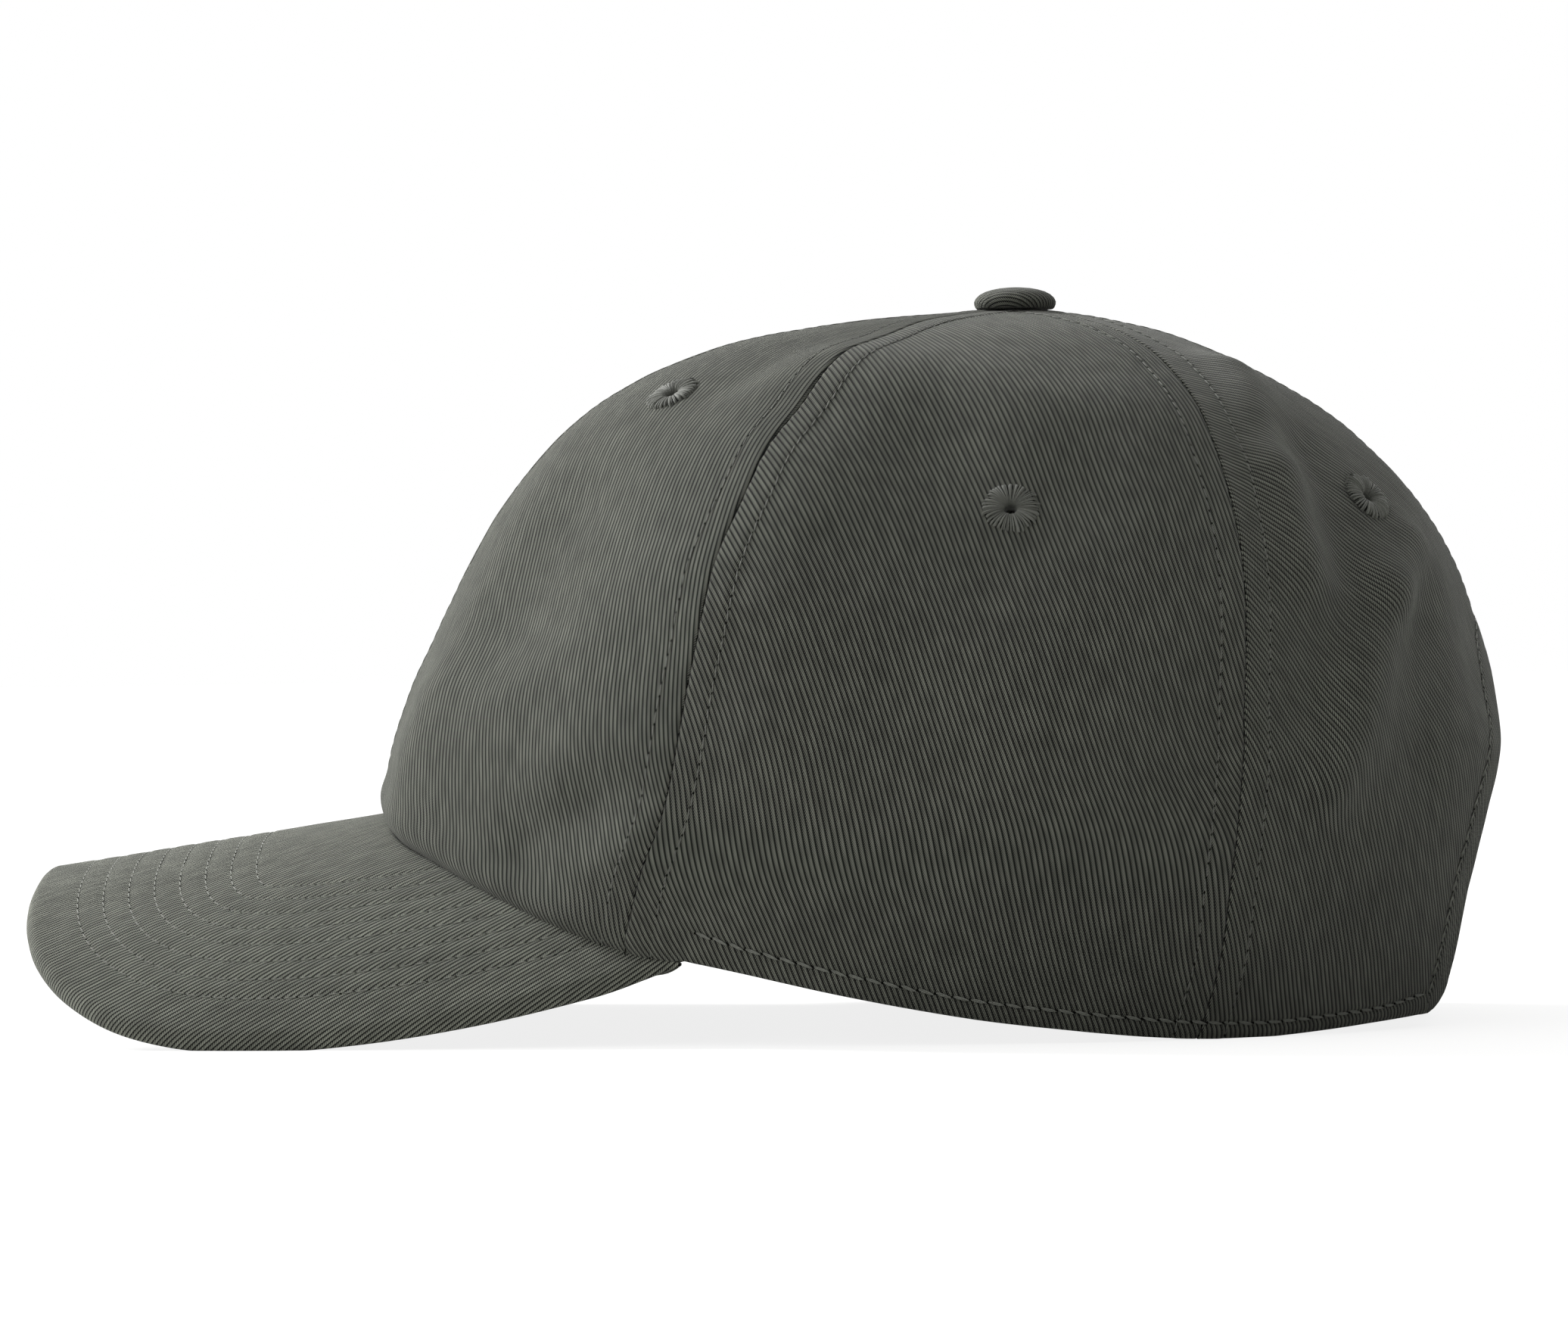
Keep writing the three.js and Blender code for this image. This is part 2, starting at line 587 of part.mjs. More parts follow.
// A flat metal frame with a bar across its middle
function strapBuckle() {
  const b = BUCKLE;
  const half = b.slot / 2;
  const outer = half + b.bar;
  const frame = roundedRectangle(new THREE.Shape(), -b.halfLength, b.halfLength, -outer, outer, b.round);
  const [slotIn, slotOut] = [b.centreBar / 2, b.halfLength - b.bar];
  for (const [x0, x1] of [[-slotOut, -slotIn], [slotIn, slotOut]]) {
    frame.holes.push(roundedRectangle(new THREE.Path(), x0, x1, -half, half, b.round / 2));
  }
  const flat = new THREE.ExtrudeGeometry(frame, {
    depth: b.depth,
    bevelEnabled: false,
    curveSegments: BUCKLE_CORNER_SEGMENTS,
  });
  flat.rotateX(Math.PI / 2);
  flat.translate(0, STRAP.flatY + GAP + b.depth, (STRAP.low + STRAP.high) / 2);
  return welded(flat);
}

const cloth = () => new THREE.MeshStandardMaterial({ color: 0x484a44, roughness: 0.95, metalness: 0 });
const thread = () => new THREE.MeshStandardMaterial({ color: 0x3f413c, roughness: 0.85, metalness: 0 });
const brass = () => new THREE.MeshStandardMaterial({ color: 0x6f6a5c, roughness: 0.4, metalness: 1 });

const hat = new THREE.Group();

function add(name, geometry, material) {
  const mesh = new THREE.Mesh(geometry, material);
  mesh.name = name;
  hat.add(mesh);
}

const PANELS = [
  {
    name: "front",
    shape: () => panel(centreFront, beforeFrontSeam, FRONT_COLUMNS, evenHeights),
  },
  {
    name: "side",
    shape: () => panel(afterFrontSeam, beforeBackSeam, SIDE_COLUMNS, evenHeights),
  },
  {
    name: "back",
    shape: () => panel(afterBackSeam, beforeCentreBack, BACK_COLUMNS, archHeights),
  },
];

function centreFront(level) {
  return besideSeam(0, level, 1);
}

function beforeFrontSeam(level) {
  return besideSeam(seamFront(level), level, -1);
}

function afterFrontSeam(level) {
  return besideSeam(seamFront(level), level, 1);
}

function beforeBackSeam(level) {
  return besideSeam(seamBack(level), level, -1);
}

function afterBackSeam(level) {
  return besideSeam(seamBack(level), level, 1);
}

function beforeCentreBack(level) {
  return besideSeam(archOrCentre(level), level, -1);
}

for (const { name, shape } of PANELS) {
  const spot = EYELETS.find((e) => e.name === name);
  const left = withEyeletHole(shape(), spot);
  add(`${name}_panel_left`, left, cloth());
  add(`${name}_panel_right`, mirrored(left), cloth());
  const ring = eyelet(spot);
  add(`eyelet_${name}_left`, ring, thread());
  add(`eyelet_${name}_right`, mirrored(ring), thread());
}
add("top_button", button(), cloth());
add("visor", visor(), cloth());
add("sweatband", sweatband(), cloth());
add("back_strap", backStrap(), cloth());
add("strap_buckle", strapBuckle(), brass());

// The origin is the middle of the hat's footprint, on the surface that it rests on
const box = new THREE.Box3().setFromObject(hat, true);
hat.position.set(0, -(box.min.y + box.max.y) / 2, -box.min.z);

export default hat;
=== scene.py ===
import math

import bmesh
import bpy
import numpy as np
from bpy.props import FloatProperty, FloatVectorProperty, IntProperty, PointerProperty
from mathutils import Matrix, Vector, noise


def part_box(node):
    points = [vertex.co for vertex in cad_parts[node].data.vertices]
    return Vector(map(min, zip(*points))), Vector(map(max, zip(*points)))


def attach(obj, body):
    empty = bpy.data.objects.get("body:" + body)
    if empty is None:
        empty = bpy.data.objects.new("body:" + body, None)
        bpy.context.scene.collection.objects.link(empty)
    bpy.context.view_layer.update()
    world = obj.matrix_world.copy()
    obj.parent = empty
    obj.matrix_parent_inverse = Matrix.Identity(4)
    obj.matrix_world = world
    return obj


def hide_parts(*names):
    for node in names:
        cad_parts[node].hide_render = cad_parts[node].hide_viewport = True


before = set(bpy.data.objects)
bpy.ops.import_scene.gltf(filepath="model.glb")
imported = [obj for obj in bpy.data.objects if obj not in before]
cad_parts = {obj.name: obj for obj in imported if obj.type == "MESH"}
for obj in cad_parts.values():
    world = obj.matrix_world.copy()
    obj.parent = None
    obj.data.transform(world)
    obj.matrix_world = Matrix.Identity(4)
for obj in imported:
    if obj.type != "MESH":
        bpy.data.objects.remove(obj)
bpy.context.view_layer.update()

bl_info = {
    "name": "Soft Six-Panel Cap",
    "version": (1, 0, 0),
    "blender": (4, 5, 0),
    "location": "View3D > Sidebar > Cap",
    "description": "Cloth, stitching and stage of a soft cap with a curved visor",
    "category": "Object",
}

# Lengths below are in millimetres, as on the sewing table. MM turns them into the scene's metres.
MM = 0.001
# Points nearer to each other than this are one
WELD = 0.001 * MM
SIDES = (("left", 1), ("right", -1))

# The crown: horizontal sections from the floor up. Each is half a squarish oval in front and half an ellipse
# behind, which meet at the widest place. The seam columns are the angles of the side panels' seams,
# counted from the front, 0, over the wearer's left, 90, to the back, 180.
APEX_Y = 45.4
TOP_OPENING = 3.3
SECTION_COLUMNS = ("z", "front", "back", "half", "widest", "square", "seam_front", "seam_back")
SECTIONS = (
    (0.0, -68.8, 126.6, 80.0, 30.0, 2.3, 57.2, 116.5),
    (13.0, -69.8, 129.9, 81.8, 30.4, 2.3, 57.2, 117.9),
    (26.0, -70.6, 132.0, 83.4, 31.4, 2.3, 58.6, 118.2),
    (38.0, -71.4, 133.8, 84.8, 33.0, 2.28, 60.9, 118.2),
    (49.5, -70.0, 135.0, 85.2, 35.0, 2.2, 61.3, 118.0),
    (61.0, -66.3, 132.4, 84.2, 37.5, 2.12, 60.4, 118.1),
    (72.0, -61.3, 129.0, 81.8, 39.5, 2.06, 59.8, 118.5),
    (83.0, -56.1, 125.2, 77.8, 41.5, 2.0, 59.1, 118.8),
    (93.6, -50.0, 119.2, 71.8, 43.0, 2.0, 59.6, 119.3),
    (103.0, -42.8, 111.0, 63.8, 44.0, 2.0, 60.0, 120.6),
    (110.6, -35.0, 102.3, 55.2, 44.6, 2.0, 61.4, 122.7),
    (116.6, -26.4, 92.7, 45.8, 45.0, 2.0, 62.4, 125.2),
    (121.4, -16.4, 83.6, 36.4, 45.2, 2.0, 63.2, 127.4),
    (125.3, -3.6, 73.6, 26.8, 45.3, 2.0, 63.0, 128.2),
    (128.0, 13.2, 62.8, 16.6, 45.4, 2.0, 61.6, 127.4),
    (129.6, 31.2, 54.0, 7.6, 45.4, 2.0, 60.6, 126.0),
    (130.2, 45.4, 45.4, 0.0, 45.4, 2.0, 60.0, 125.0),
)
LAST = len(SECTIONS) - 1
# The crown's lower edge lies under this level everywhere
EDGE_LIMIT = LAST / 2

# Height of the free rim over the floor, by angle
RIM = (
    (63.5, 14.6),
    (68.0, 13.0),
    (80.0, 8.3),
    (92.0, 4.4),
    (104.0, 1.8),
    (112.0, 0.5),
    (119.0, 0.0),
    (126.0, 0.0),
    (134.0, 0.7),
    (144.0, 1.6),
    (153.0, 2.3),
)

# Folds of the cloth: (angle, height) at both ends, width, and how far it stands out (under 0: a valley)
FOLDS = (
    ((52, 80), (37, 60), 9, 0.9),
    ((32, 92), (30, 75), 13, -2.5),
    ((22, 60), (23, 43), 11, 2.2),
    ((57, 44), (46, 36), 8, -2.0),
    ((58, 47), (58, 35), 8, 1.5),
    ((46, 115), (56, 125), 6, -0.6),
    ((82, 109), (82, 63), 15, -3.5),
    ((61, 117), (82, 113), 14, 3.0),
    ((83, 74), (97, 49), 18, 2.1),
    ((101, 104), (100, 94), 9, -1.0),
    ((114, 53), (101, 28), 15, -1.7),
    ((71, 51), (74, 41), 12, 1.3),
    ((144, 117), (131, 101), 7, 2.7),
    ((129, 96), (129, 80), 6, 2.5),
    ((138, 102), (136, 83), 8, -2.4),
    ((151, 86), (143, 76), 5, 2.2),
    ((142, 78), (129, 44), 6, 2.7),
    ((147, 71), (142, 47), 8, -1.6),
    ((131, 73), (126, 58), 8, -1.4),
    ((166, 70), (162, 64), 8, -0.9),
    ((56, 103), (59, 76), 11, 1.7),
    ((65, 100), (67, 77), 9, 0.9),
    ((96, 95), (89, 83), 13, -2.5),
    ((40, 71), (40, 46), 12, -1.5),
    ((161, 99), (156, 83), 8, 0.9),
    ((45, 105), (51, 84), 9, 0.4),
    ((110, 100), (112, 76), 12, 0.4),
)

# The arched opening at the back. Its line runs on a little below the rim. Its lower corner is rounded: how far it
# turns out, from which height over the foot, and how late.
ARCH = {"half_width": 32.0, "top": 66.5, "spring": 6.0, "foot": 2.0, "below_rim": 1.6}
ARCH_CORNER = {"width": 5.4, "height": 5.5, "bend": 2.4}

# Fineness of a panel's mesh. Its columns stand closer together at the seams and its rows at the rim.
PANELS = {
    "front": {"columns": 84, "rows": 190},
    "side": {"columns": 96, "rows": 190},
    "back": {"columns": 84, "rows": 200},
}
SEAM_CROWDING = 0.78
RIM_CROWDING = 0.5
# Share of the back panel's rows that lie beside the opening, and how evenly they are spaced there
BACK_ROWS = {"beside_arch": 0.55, "even": 0.35}

# Relief of the sewn cloth, in mm from the crown's smooth outer face: doubled cloth that thins out over a step,
# stitch rows that pull it in, and edges that roll inwards
SEAM = {
    "groove": 0.36,
    "groove_width": 0.22,
    "doubled": 0.12,
    "step": 1.2,
    "pull": 0.2,
    "pull_width": 0.5,
    "even": 0.1,
}
# Between these distances from a seam the cloth rises out of its groove
SEAM_RISE = (0.1, 0.8)
# The seam over the opening sets in over this share of a section's step
SEAM_SETS_IN = 0.15
EDGE = {"roll": 0.45, "roll_width": 0.8, "doubled": 0.1, "step": 1.5, "pull": 0.45, "pull_width": 0.55}
TUCK = {"depth": 1.1, "width": 1.3, "overhang": 0.7, "overhang_at": 4.0, "overhang_width": 2.8}
HEM = {"width": 7.5, "doubled": 0.15, "step": 1.2, "pull": 0.4, "pull_width": 0.55, "margin": 0.2, "thread": 0.8}
# The hem's stitch row ends at this height, and its pull fades out between these distances from the rim. The row is
# looked for between these heights.
HEM_ROW_FOOT = 5.8
HEM_ROW_FADES = (2.5, 4.0)
HEM_HEIGHTS = (0.5, 128.0)
# Small swells of worn cloth: their size and height
WRINKLES = ((16.0, 0.2), (6.0, 0.1))
# The least share of the wall's thickness, down in the deepest groove
THINNEST = 0.1

# How the pattern pieces are turned on the bolt of cloth, in degrees from the grain of the side panels
CUT = {"front": -5.0, "side": 0.0, "back": 4.0, "hem": 15.0, "visor": -53.0, "strap": 22.0, "button": -40.0}

# Height of the rim's stitch row over the edge, by angle
RIM_ROW = (
    (64.5, 5.4),
    (70.0, 4.3),
    (80.0, 3.8),
    (92.0, 3.3),
    (110.0, 3.1),
    (125.0, 2.6),
    (140.0, 2.6),
    (144.0, 2.9),
    (150.2, 3.9),
)
RIM_ROW_ENDS = (64.8, 150.2)

# Stitches: the share of their pitch that they cover, how far they stand out for their thread, how unevenly they
# lean, and over what distance that changes
STITCH = {"cover": 0.84, "lift": 0.15, "uneven": 0.8, "uneven_every": 3.0}
# The two plies of a bold stitch, in shares of its thickness, and their twist
PLY = {"width": 0.6, "apart": 0.5, "twist": 1.3}
# How long a dark disc of painted shade at a stitch's end is for its thread, by the stitch's plies
SHADE_DISC_LENGTH = {1: 2.2, 2: 1.1}
BOLD_STITCH = {"plies": 2, "cover": 0.98, "yaw": math.radians(-8)}
# How far the stitches of the seams and of the visor lean from their rows
SEAM_YAW = math.radians(7)
VISOR_YAW = math.radians(5)
# Brightness of each thread, for the colour of the sewing thread
THREADS = {"spun_thread": 0.7, "visor_thread": 1.1, "bold_thread": 0.95, "eyelet_thread": 0.68}
# Painted shade along a seam between its stitches: dark discs for the shadow in the closed fold where the two cloths
# meet
SEAM_SHADE_DISCS = {"pitch": 2.1, "width": 0.22, "length": 1.9, "rise": 0.1}
# Where the seams' stitch rows stop: levels under the top, mm over the edge, degrees from the seam
ROW_STOPS = {"below_top": 0.25, "over_edge": 0.6, "spread": 28}

# The visor: where its top meets the crown in front, its slope, the arch across it, and its thickness. At its corners
# it thins out over a distance, and its edge lies flush in the crown.
VISOR = {"seam_y": -71.0, "seam_z": 39.1, "slope": 0.151, "arch_radius": 100.0, "thickness": 3.4}
VISOR_PLAY = 0.05
VISOR_CORNER = {"angle": 63.2, "blend": 1.5, "thickness": 0.4, "taper": 14.0, "flush": 5.0, "lift_from": 59.8}
# Half of its outline in plan, from the tip to the corner on the wearer's left
VISOR_OUTLINE = (
    (0.0, -131.1),
    (18.0, -131.4),
    (34.0, -131.4),
    (44.0, -130.2),
    (52.0, -127.8),
    (59.2, -123.5),
    (66.4, -115.3),
    (71.3, -104.0),
    (74.2, -89.0),
    (75.5, -70.0),
    (75.4, -50.0),
    (74.2, -32.0),
    (73.2, -22.0),
    (74.2, -16.2),
)
VISOR_MESH = {"columns": 260, "top_rows": 70, "edge_rows": 8}
VISOR_ROW = {"pull": 0.22, "pull_width": 0.55, "clear_of_seam": 0.8, "slack": 0.08, "lift": 0.25}
# Points of the outline and of a row, and over how many of them a row is evened out
VISOR_ROW_POINTS = {"outline": 900, "row": 700, "evened": 19}
VISOR_UNEVEN = 0.4
VISOR_ROUNDING = 1.0
# The board holds the cloth flat. The visor's ridges are paler than the crown's by this factor: painted light, for the
# brighter light that the visor's top catches
VISOR_PAINTED_LIGHT = 1.6

# The eyelets: angle and height. Then how they are worked.
EYELETS = {"front": (34.0, 114.3), "side": (89.2, 94.2), "back": (147.0, 94.4)}
EYELET = {"strands": 60, "thread": 0.3, "packed": 0.85, "bulge": 1.2, "cut": 3.3, "ragged": 0.8, "swing": 0.14}
# Under this height over the cloth an eyelet is even
EYELET_EVEN = -1.15
# How often an eyelet's threads are ragged, bunched and raised round the ring, each with its own part of the noise
EYELET_NOISE = ((11, 0), (6, 7), (13, 13))
# Between these radii the ragged ends and the swing of the bunches set in
EYELET_SETS_IN = {"ragged": (3.0, 4.7), "swing": (1.0, 2.6)}
EYELET_RISE = {"raised": 0.2, "bunched": 0.08}
# The smooth lining of an eyelet's hole and its back inside the hat: radius, and height over the cloth
EYELET_LINING = ((1.02, -1.2), (1.0, -2.4), (3.4, -2.4), (3.6, -1.6), (2.4, -1.25))
# The way that a strand of an eyelet takes: radius, and height over the cloth
STRAND_PATH = (
    (4.8, -0.25),
    (4.68, 0.12),
    (4.3, 0.32),
    (3.6, 0.44),
    (2.8, 0.47),
    (2.1, 0.4),
    (1.6, 0.2),
    (1.26, -0.1),
    (1.1, -0.6),
    (1.03, -1.3),
)

# The button: its cover is a little uneven, but not on its top
BUTTON = {"radius": 7.5, "top": 134.3, "even_over": 133.6, "uneven": 0.12, "foot": 130.3, "shank": 2.9}
BUTTON_DISC = {"radius": 6.2, "top": 128.2, "foot": 127.2}
# Shares of the button's radius and of its height from the top down
BUTTON_DOME = (
    (0.0, 0.0),
    (0.2, 0.012),
    (0.4, 0.05),
    (0.58, 0.115),
    (0.74, 0.21),
    (0.87, 0.34),
    (0.96, 0.5),
    (1.0, 0.66),
    (0.995, 0.8),
    (0.965, 0.93),
    (0.93, 1.0),
)

# The sweatband inside the crown. In front its lower edge sinks behind the visor's seam.
BAND = {"height": 28.0, "lift": 0.8, "end_angle": 142.5, "clear_of_folds": 0.35, "gap": 0.5, "wall": 1.0, "bevel": 0.3}
BAND_MESH = {"columns": 320, "rows": 28}
BAND_SINK = {"depth": 3.3, "from_angle": 58.0, "to_angle": 66.0}

# The strap and the frame of its buckle, with the play between them
STRAP = {"low": 7.5, "high": 27.5, "flat_y": 119.8, "behind_panel": 0.4, "blend": 1.0, "wall": 1.4, "end_x": 46.0}
STRAP_MESH = {"columns": 140, "face_rows": 18, "edge_rows": 6}
STRAP_ROW = {"from_edge": 2.2, "reach": 30.0, "lift": 0.2}
BUCKLE = {"half_length": 13.0, "bar": 2.4, "centre_bar": 3.0, "depth": 1.6, "bevel": 0.4}
GAP = 0.3

# The photographer's place, level with the hat's middle and off the wearer's left
CAMERA = {"distance": 1200.0, "y": 2.3, "z": 64.64, "tilt": 0.01044, "frame_width": 287.78, "sensor": 36.0}
# The studio's lights: their spread in degrees, and the way they shine
LIGHTS = {"key": (14, (0.44, 0.76, -0.48)), "wrap": (180, (0.6, 0.7, -0.3))}
# Half the floor's width in metres, and the paper's glow before the camera
FLOOR_REACH = 40
GLOW = {"strength": 1.2, "share": 0.7}
WHITE = (1, 1, 1, 1)


def linear(hex_colour):
    """The linear colour of an sRGB hex value."""
    channels = [int(hex_colour[i : i + 2], 16) / 255 for i in (0, 2, 4)]
    return tuple(c / 12.92 if c <= 0.04045 else ((c + 0.055) / 1.055) ** 2.4 for c in channels)


# What the settings for lengths and those for colours have in common
LENGTH = {"subtype": "DISTANCE", "unit": "LENGTH", "precision": 5}
COLOUR = {"subtype": "COLOR", "min": 0, "max": 1}


class CapCloth(bpy.types.PropertyGroup):
    ridge_colour: FloatVectorProperty(
        name="Ridge colour",
        description="Colour on top of the twill's ridges, where washing has faded it",
        default=linear("77796f"),
        **COLOUR,
    )
    # The groove colour is the dye that the grooves keep, made darker still as painted shade for the little light that
    # reaches down between the ridges
    groove_dye_and_shade_colour: FloatVectorProperty(
        name="Groove colour",
        description="Colour between the twill's ridges, which keeps the dye",
        default=linear("10110f"),
        **COLOUR,
    )
    twill_pitch: FloatProperty(
        name="Twill pitch",
        description="Distance from one ridge of the twill to the next",
        default=0.8 * MM,
        **LENGTH,
    )
    twill_lean: FloatProperty(
        name="Twill lean",
        description="Lean of the ridges from the grain of each panel",
        subtype="ANGLE",
        unit="ROTATION",
        default=math.radians(23),
    )
    wall: FloatProperty(name="Cloth wall", description="Thickness of a crown panel", default=1.2 * MM, **LENGTH)


class CapStitching(bpy.types.PropertyGroup):
    thread_colour: FloatVectorProperty(
        name="Thread colour", description="Colour of the sewing thread", default=linear("74766e"), **COLOUR
    )
    seam_offset: FloatProperty(
        name="Distance from a seam",
        description="Distance of each topstitch row from its seam",
        default=4.9 * MM,
        **LENGTH,
    )
    seam_pitch: FloatProperty(
        name="Seam stitch",
        description="Length of one stitch of the seams' topstitching",
        default=2.5 * MM,
        **LENGTH,
    )
    rim_pitch: FloatProperty(
        name="Rim stitch", description="Length of one stitch of the rim's row", default=3.0 * MM, **LENGTH
    )
    visor_pitch: FloatProperty(
        name="Visor stitch", description="Length of one stitch of the visor's rows", default=2.5 * MM, **LENGTH
    )
    visor_first: FloatProperty(
        name="First visor row",
        description="Distance of the visor's outermost stitch row from the edge",
        default=7.3 * MM,
        **LENGTH,
    )
    visor_spacing: FloatProperty(
        name="Visor row spacing",
        description="Distance from one stitch row of the visor to the next",
        default=4.55 * MM,
        **LENGTH,
    )
    visor_rows: IntProperty(
        name="Visor rows", description="Number of stitch rows on the visor", min=1, max=12, default=8
    )
    fine_thread: FloatProperty(
        name="Fine thread",
        description="Thickness of the thread of the seams and the visor",
        default=0.26 * MM,
        **LENGTH,
    )
    bold_thread: FloatProperty(
        name="Bold thread", description="Thickness of the thread of the rim", default=0.52 * MM, **LENGTH
    )


class CapStage(bpy.types.PropertyGroup):
    floor_colour: FloatVectorProperty(
        name="Floor colour", description="Colour of the studio floor", default=linear("e0e0de"), **COLOUR
    )
    key: FloatProperty(
        name="Key light", description="Strength of the light from the front and above", min=0, default=4.4
    )
    wrap: FloatProperty(
        name="Wrap light", description="Strength of the wide soft light from the far side", min=0, default=3.0
    )
    fill: FloatProperty(
        name="Fill light", description="Strength of the even light from all round", min=0, default=0.19
    )


def ramp(value, low, high):
    """A smooth step from 0 at low to 1 at high."""
    t = np.clip((value - low) / (high - low), 0, 1)
    return t * t * (3 - 2 * t)


def dent(distance, width):
    """1 on a line, and less and less beside it."""
    return np.exp(-((distance / width) ** 2))


def unit(vectors):
    return vectors / np.linalg.norm(vectors, axis=-1, keepdims=True)


def along_path(path):
    """Distances of a path's close points from its start."""
    return np.r_[0, np.cumsum(np.linalg.norm(np.diff(path, axis=0), axis=-1))]


def section_table():
    """The sections with one row more at each end: past the top it is the mirror image."""
    past = dict(zip(SECTION_COLUMNS, SECTIONS[-2]))
    past.update(front=2 * APEX_Y - past["front"], back=2 * APEX_Y - past["back"], half=-past["half"])
    return np.array([SECTIONS[0], *SECTIONS, [past[name] for name in SECTION_COLUMNS]], float)


SECTION_TABLE = section_table()


def section_at(level):
    """The crown's section at a level, which counts the rows of SECTIONS and may lie between two of them."""
    level = np.clip(np.asarray(level, float), 0, LAST - 1e-9)
    row = np.floor(level).astype(int)
    t = (level - row)[..., None]
    a, b, c, d = (SECTION_TABLE[row + k] for k in range(4))
    square = 2 * a - 5 * b + 4 * c - d
    cubic = -a + 3 * b - 3 * c + d
    values = 0.5 * (2 * b + (c - a) * t + square * t**2 + cubic * t**3)
    return dict(zip(SECTION_COLUMNS, np.moveaxis(values, -1, 0)))


def bisect(low, high, is_past):
    """Where is_past turns true between low and high, for each of their entries."""
    low, high = np.array(low, float), np.array(high, float)
    for _ in range(40):
        middle = (low + high) / 2
        past = is_past(middle)
        high = np.where(past, middle, high)
        low = np.where(past, low, middle)
    return (low + high) / 2


def level_at(z):
    z = np.asarray(z, float)
    return bisect(0 * z, 0 * z + LAST, lambda level: section_at(level)["z"] > z)


TOP_LEVEL = float(bisect(LAST - 2, LAST, lambda level: section_at(level)["half"] < TOP_OPENING))
ARCH_LEVEL = float(level_at(ARCH["top"]))


def crown_base(angle, level):
    """Points of the crown without its folds."""
    s = section_at(level)
    sin, cos = np.sin(np.radians(angle)), np.cos(np.radians(angle))
    square = s["square"]
    squarish = (np.abs(cos) ** square + np.abs(sin) ** square) ** (-1 / square)
    reach = np.where(cos < 0, 1.0, squarish)
    depth = np.where(cos < 0, s["back"] - s["widest"], s["widest"] - s["front"])
    return np.stack([s["half"] * sin * reach, s["widest"] - depth * cos * reach, s["z"] + 0 * sin], -1)


def crown_normal(angle, level):
    step_angle, step_level = 0.5, 0.02
    inside = np.minimum(level, LAST - 2 * step_level)
    around = crown_base(angle + step_angle, inside) - crown_base(angle - step_angle, inside)
    up = crown_base(angle, inside + step_level) - crown_base(angle, inside - step_level)
    return unit(np.cross(around, up))


FOLD_LINES = [
    (
        crown_base(np.float64(start[0]), level_at(start[1])),
        crown_base(np.float64(end[0]), level_at(end[1])),
        width,
        height,
    )
    for start, end, width, height in FOLDS
]


def fold_height(points):
    """How far the folds push the cloth out, at points of the wearer's left."""
    total = np.zeros(points.shape[:-1])
    for start, end, width, height in FOLD_LINES:
        line = end - start
        along = np.clip(((points - start) @ line) / (line @ line), 0, 1)
        away = np.linalg.norm(points - start - along[..., None] * line, axis=-1)
        total += height * dent(away, width)
    return total


def crown_point(angle, level, out=0.0):
    """Points of the crown on the wearer's left, folds and all, pushed out from its face."""
    base = crown_base(angle, level)
    return base + crown_normal(angle, level) * (fold_height(base) + out)[..., None]


def smooth_curve(table, x):
    """A smooth curve through rows of x and y."""
    xs, ys = np.array(table, float).T
    before, after = np.r_[0, 0 : len(xs) - 1], np.r_[1 : len(xs), len(xs) - 1]
    slopes = (ys[after] - ys[before]) / (xs[after] - xs[before])
    x = np.clip(x, xs[0], xs[-1])
    i = np.clip(np.searchsorted(xs, x, side="right") - 1, 0, len(xs) - 2)
    span = xs[i + 1] - xs[i]
    t = (x - xs[i]) / span
    leave = span * slopes[i] * t * (1 - t) ** 2
    arrive = -span * slopes[i + 1] * t**2 * (1 - t)
    return ys[i] + (ys[i + 1] - ys[i]) * t * t * (3 - 2 * t) + leave + arrive


def visor_top(x, y):
    radius = VISOR["arch_radius"]
    return VISOR["seam_z"] + VISOR["slope"] * (y - VISOR["seam_y"]) - radius + np.sqrt(radius**2 - x**2)


def edge_height(angle, point):
    """Height at which the crown's cloth ends: on the visor in front, at the free rim elsewhere. At the visor's
    corner the rim rides up over the visor's edge."""
    on_visor = visor_top(point[..., 0], point[..., 1]) + VISOR_PLAY
    free = ramp(angle, VISOR_CORNER["lift_from"], VISOR_CORNER["angle"])
    return on_visor * (1 - free) + smooth_curve(RIM, angle) * free


def front_centre(level):
    return 0 * level


def back_centre(level):
    return 0 * level + 180.0


def seam_front(level):
    return section_at(level)["seam_front"]


def seam_back(level):
    return section_at(level)["seam_back"]


def arch_half_width(z):
    """Half the width of the back opening at a height, with the rounded corner at its foot."""
    up = np.clip((z - ARCH["spring"]) / (ARCH["top"] - ARCH["spring"]), 0, 1)
    in_corner = np.clip(1 - (z - ARCH["foot"]) / ARCH_CORNER["height"], 0, 1)
    return ARCH["half_width"] * np.sqrt(1 - up**2) + ARCH_CORNER["width"] * in_corner ** ARCH_CORNER["bend"]


def arch_angle(level):
    s = section_at(level)
    angle = 180 - np.degrees(np.arcsin(np.clip(arch_half_width(s["z"]) / s["half"], 0, 1)))
    return np.where(s["z"] >= ARCH["top"], 180.0, angle)


def degrees_across(angle, level, distance):
    """The turn round the crown that a distance takes up."""
    step = 0.5
    width = np.linalg.norm(crown_base(angle + step, level) - crown_base(angle - step, level), axis=-1)
    return distance * 2 * step / width


def distance_to(points, line):
    """Distance of each point of a grid to the nearest point of a close row of points."""
    return np.array([np.linalg.norm(row[:, None] - line[None], axis=-1).min(axis=1) for row in points])


def evened(rows, reach=25, mode="edge", **padding):
    """Evens out values from row to row, as the cloth itself gives way. The mode says how they go on past the ends."""
    window = np.hanning(2 * reach + 3)[1:-1]
    window /= window.sum()
    wide = np.pad(rows, [(reach, reach)] + [(0, 0)] * (rows.ndim - 1), mode, **padding)
    return np.apply_along_axis(np.convolve, 0, wide, window, mode="valid")


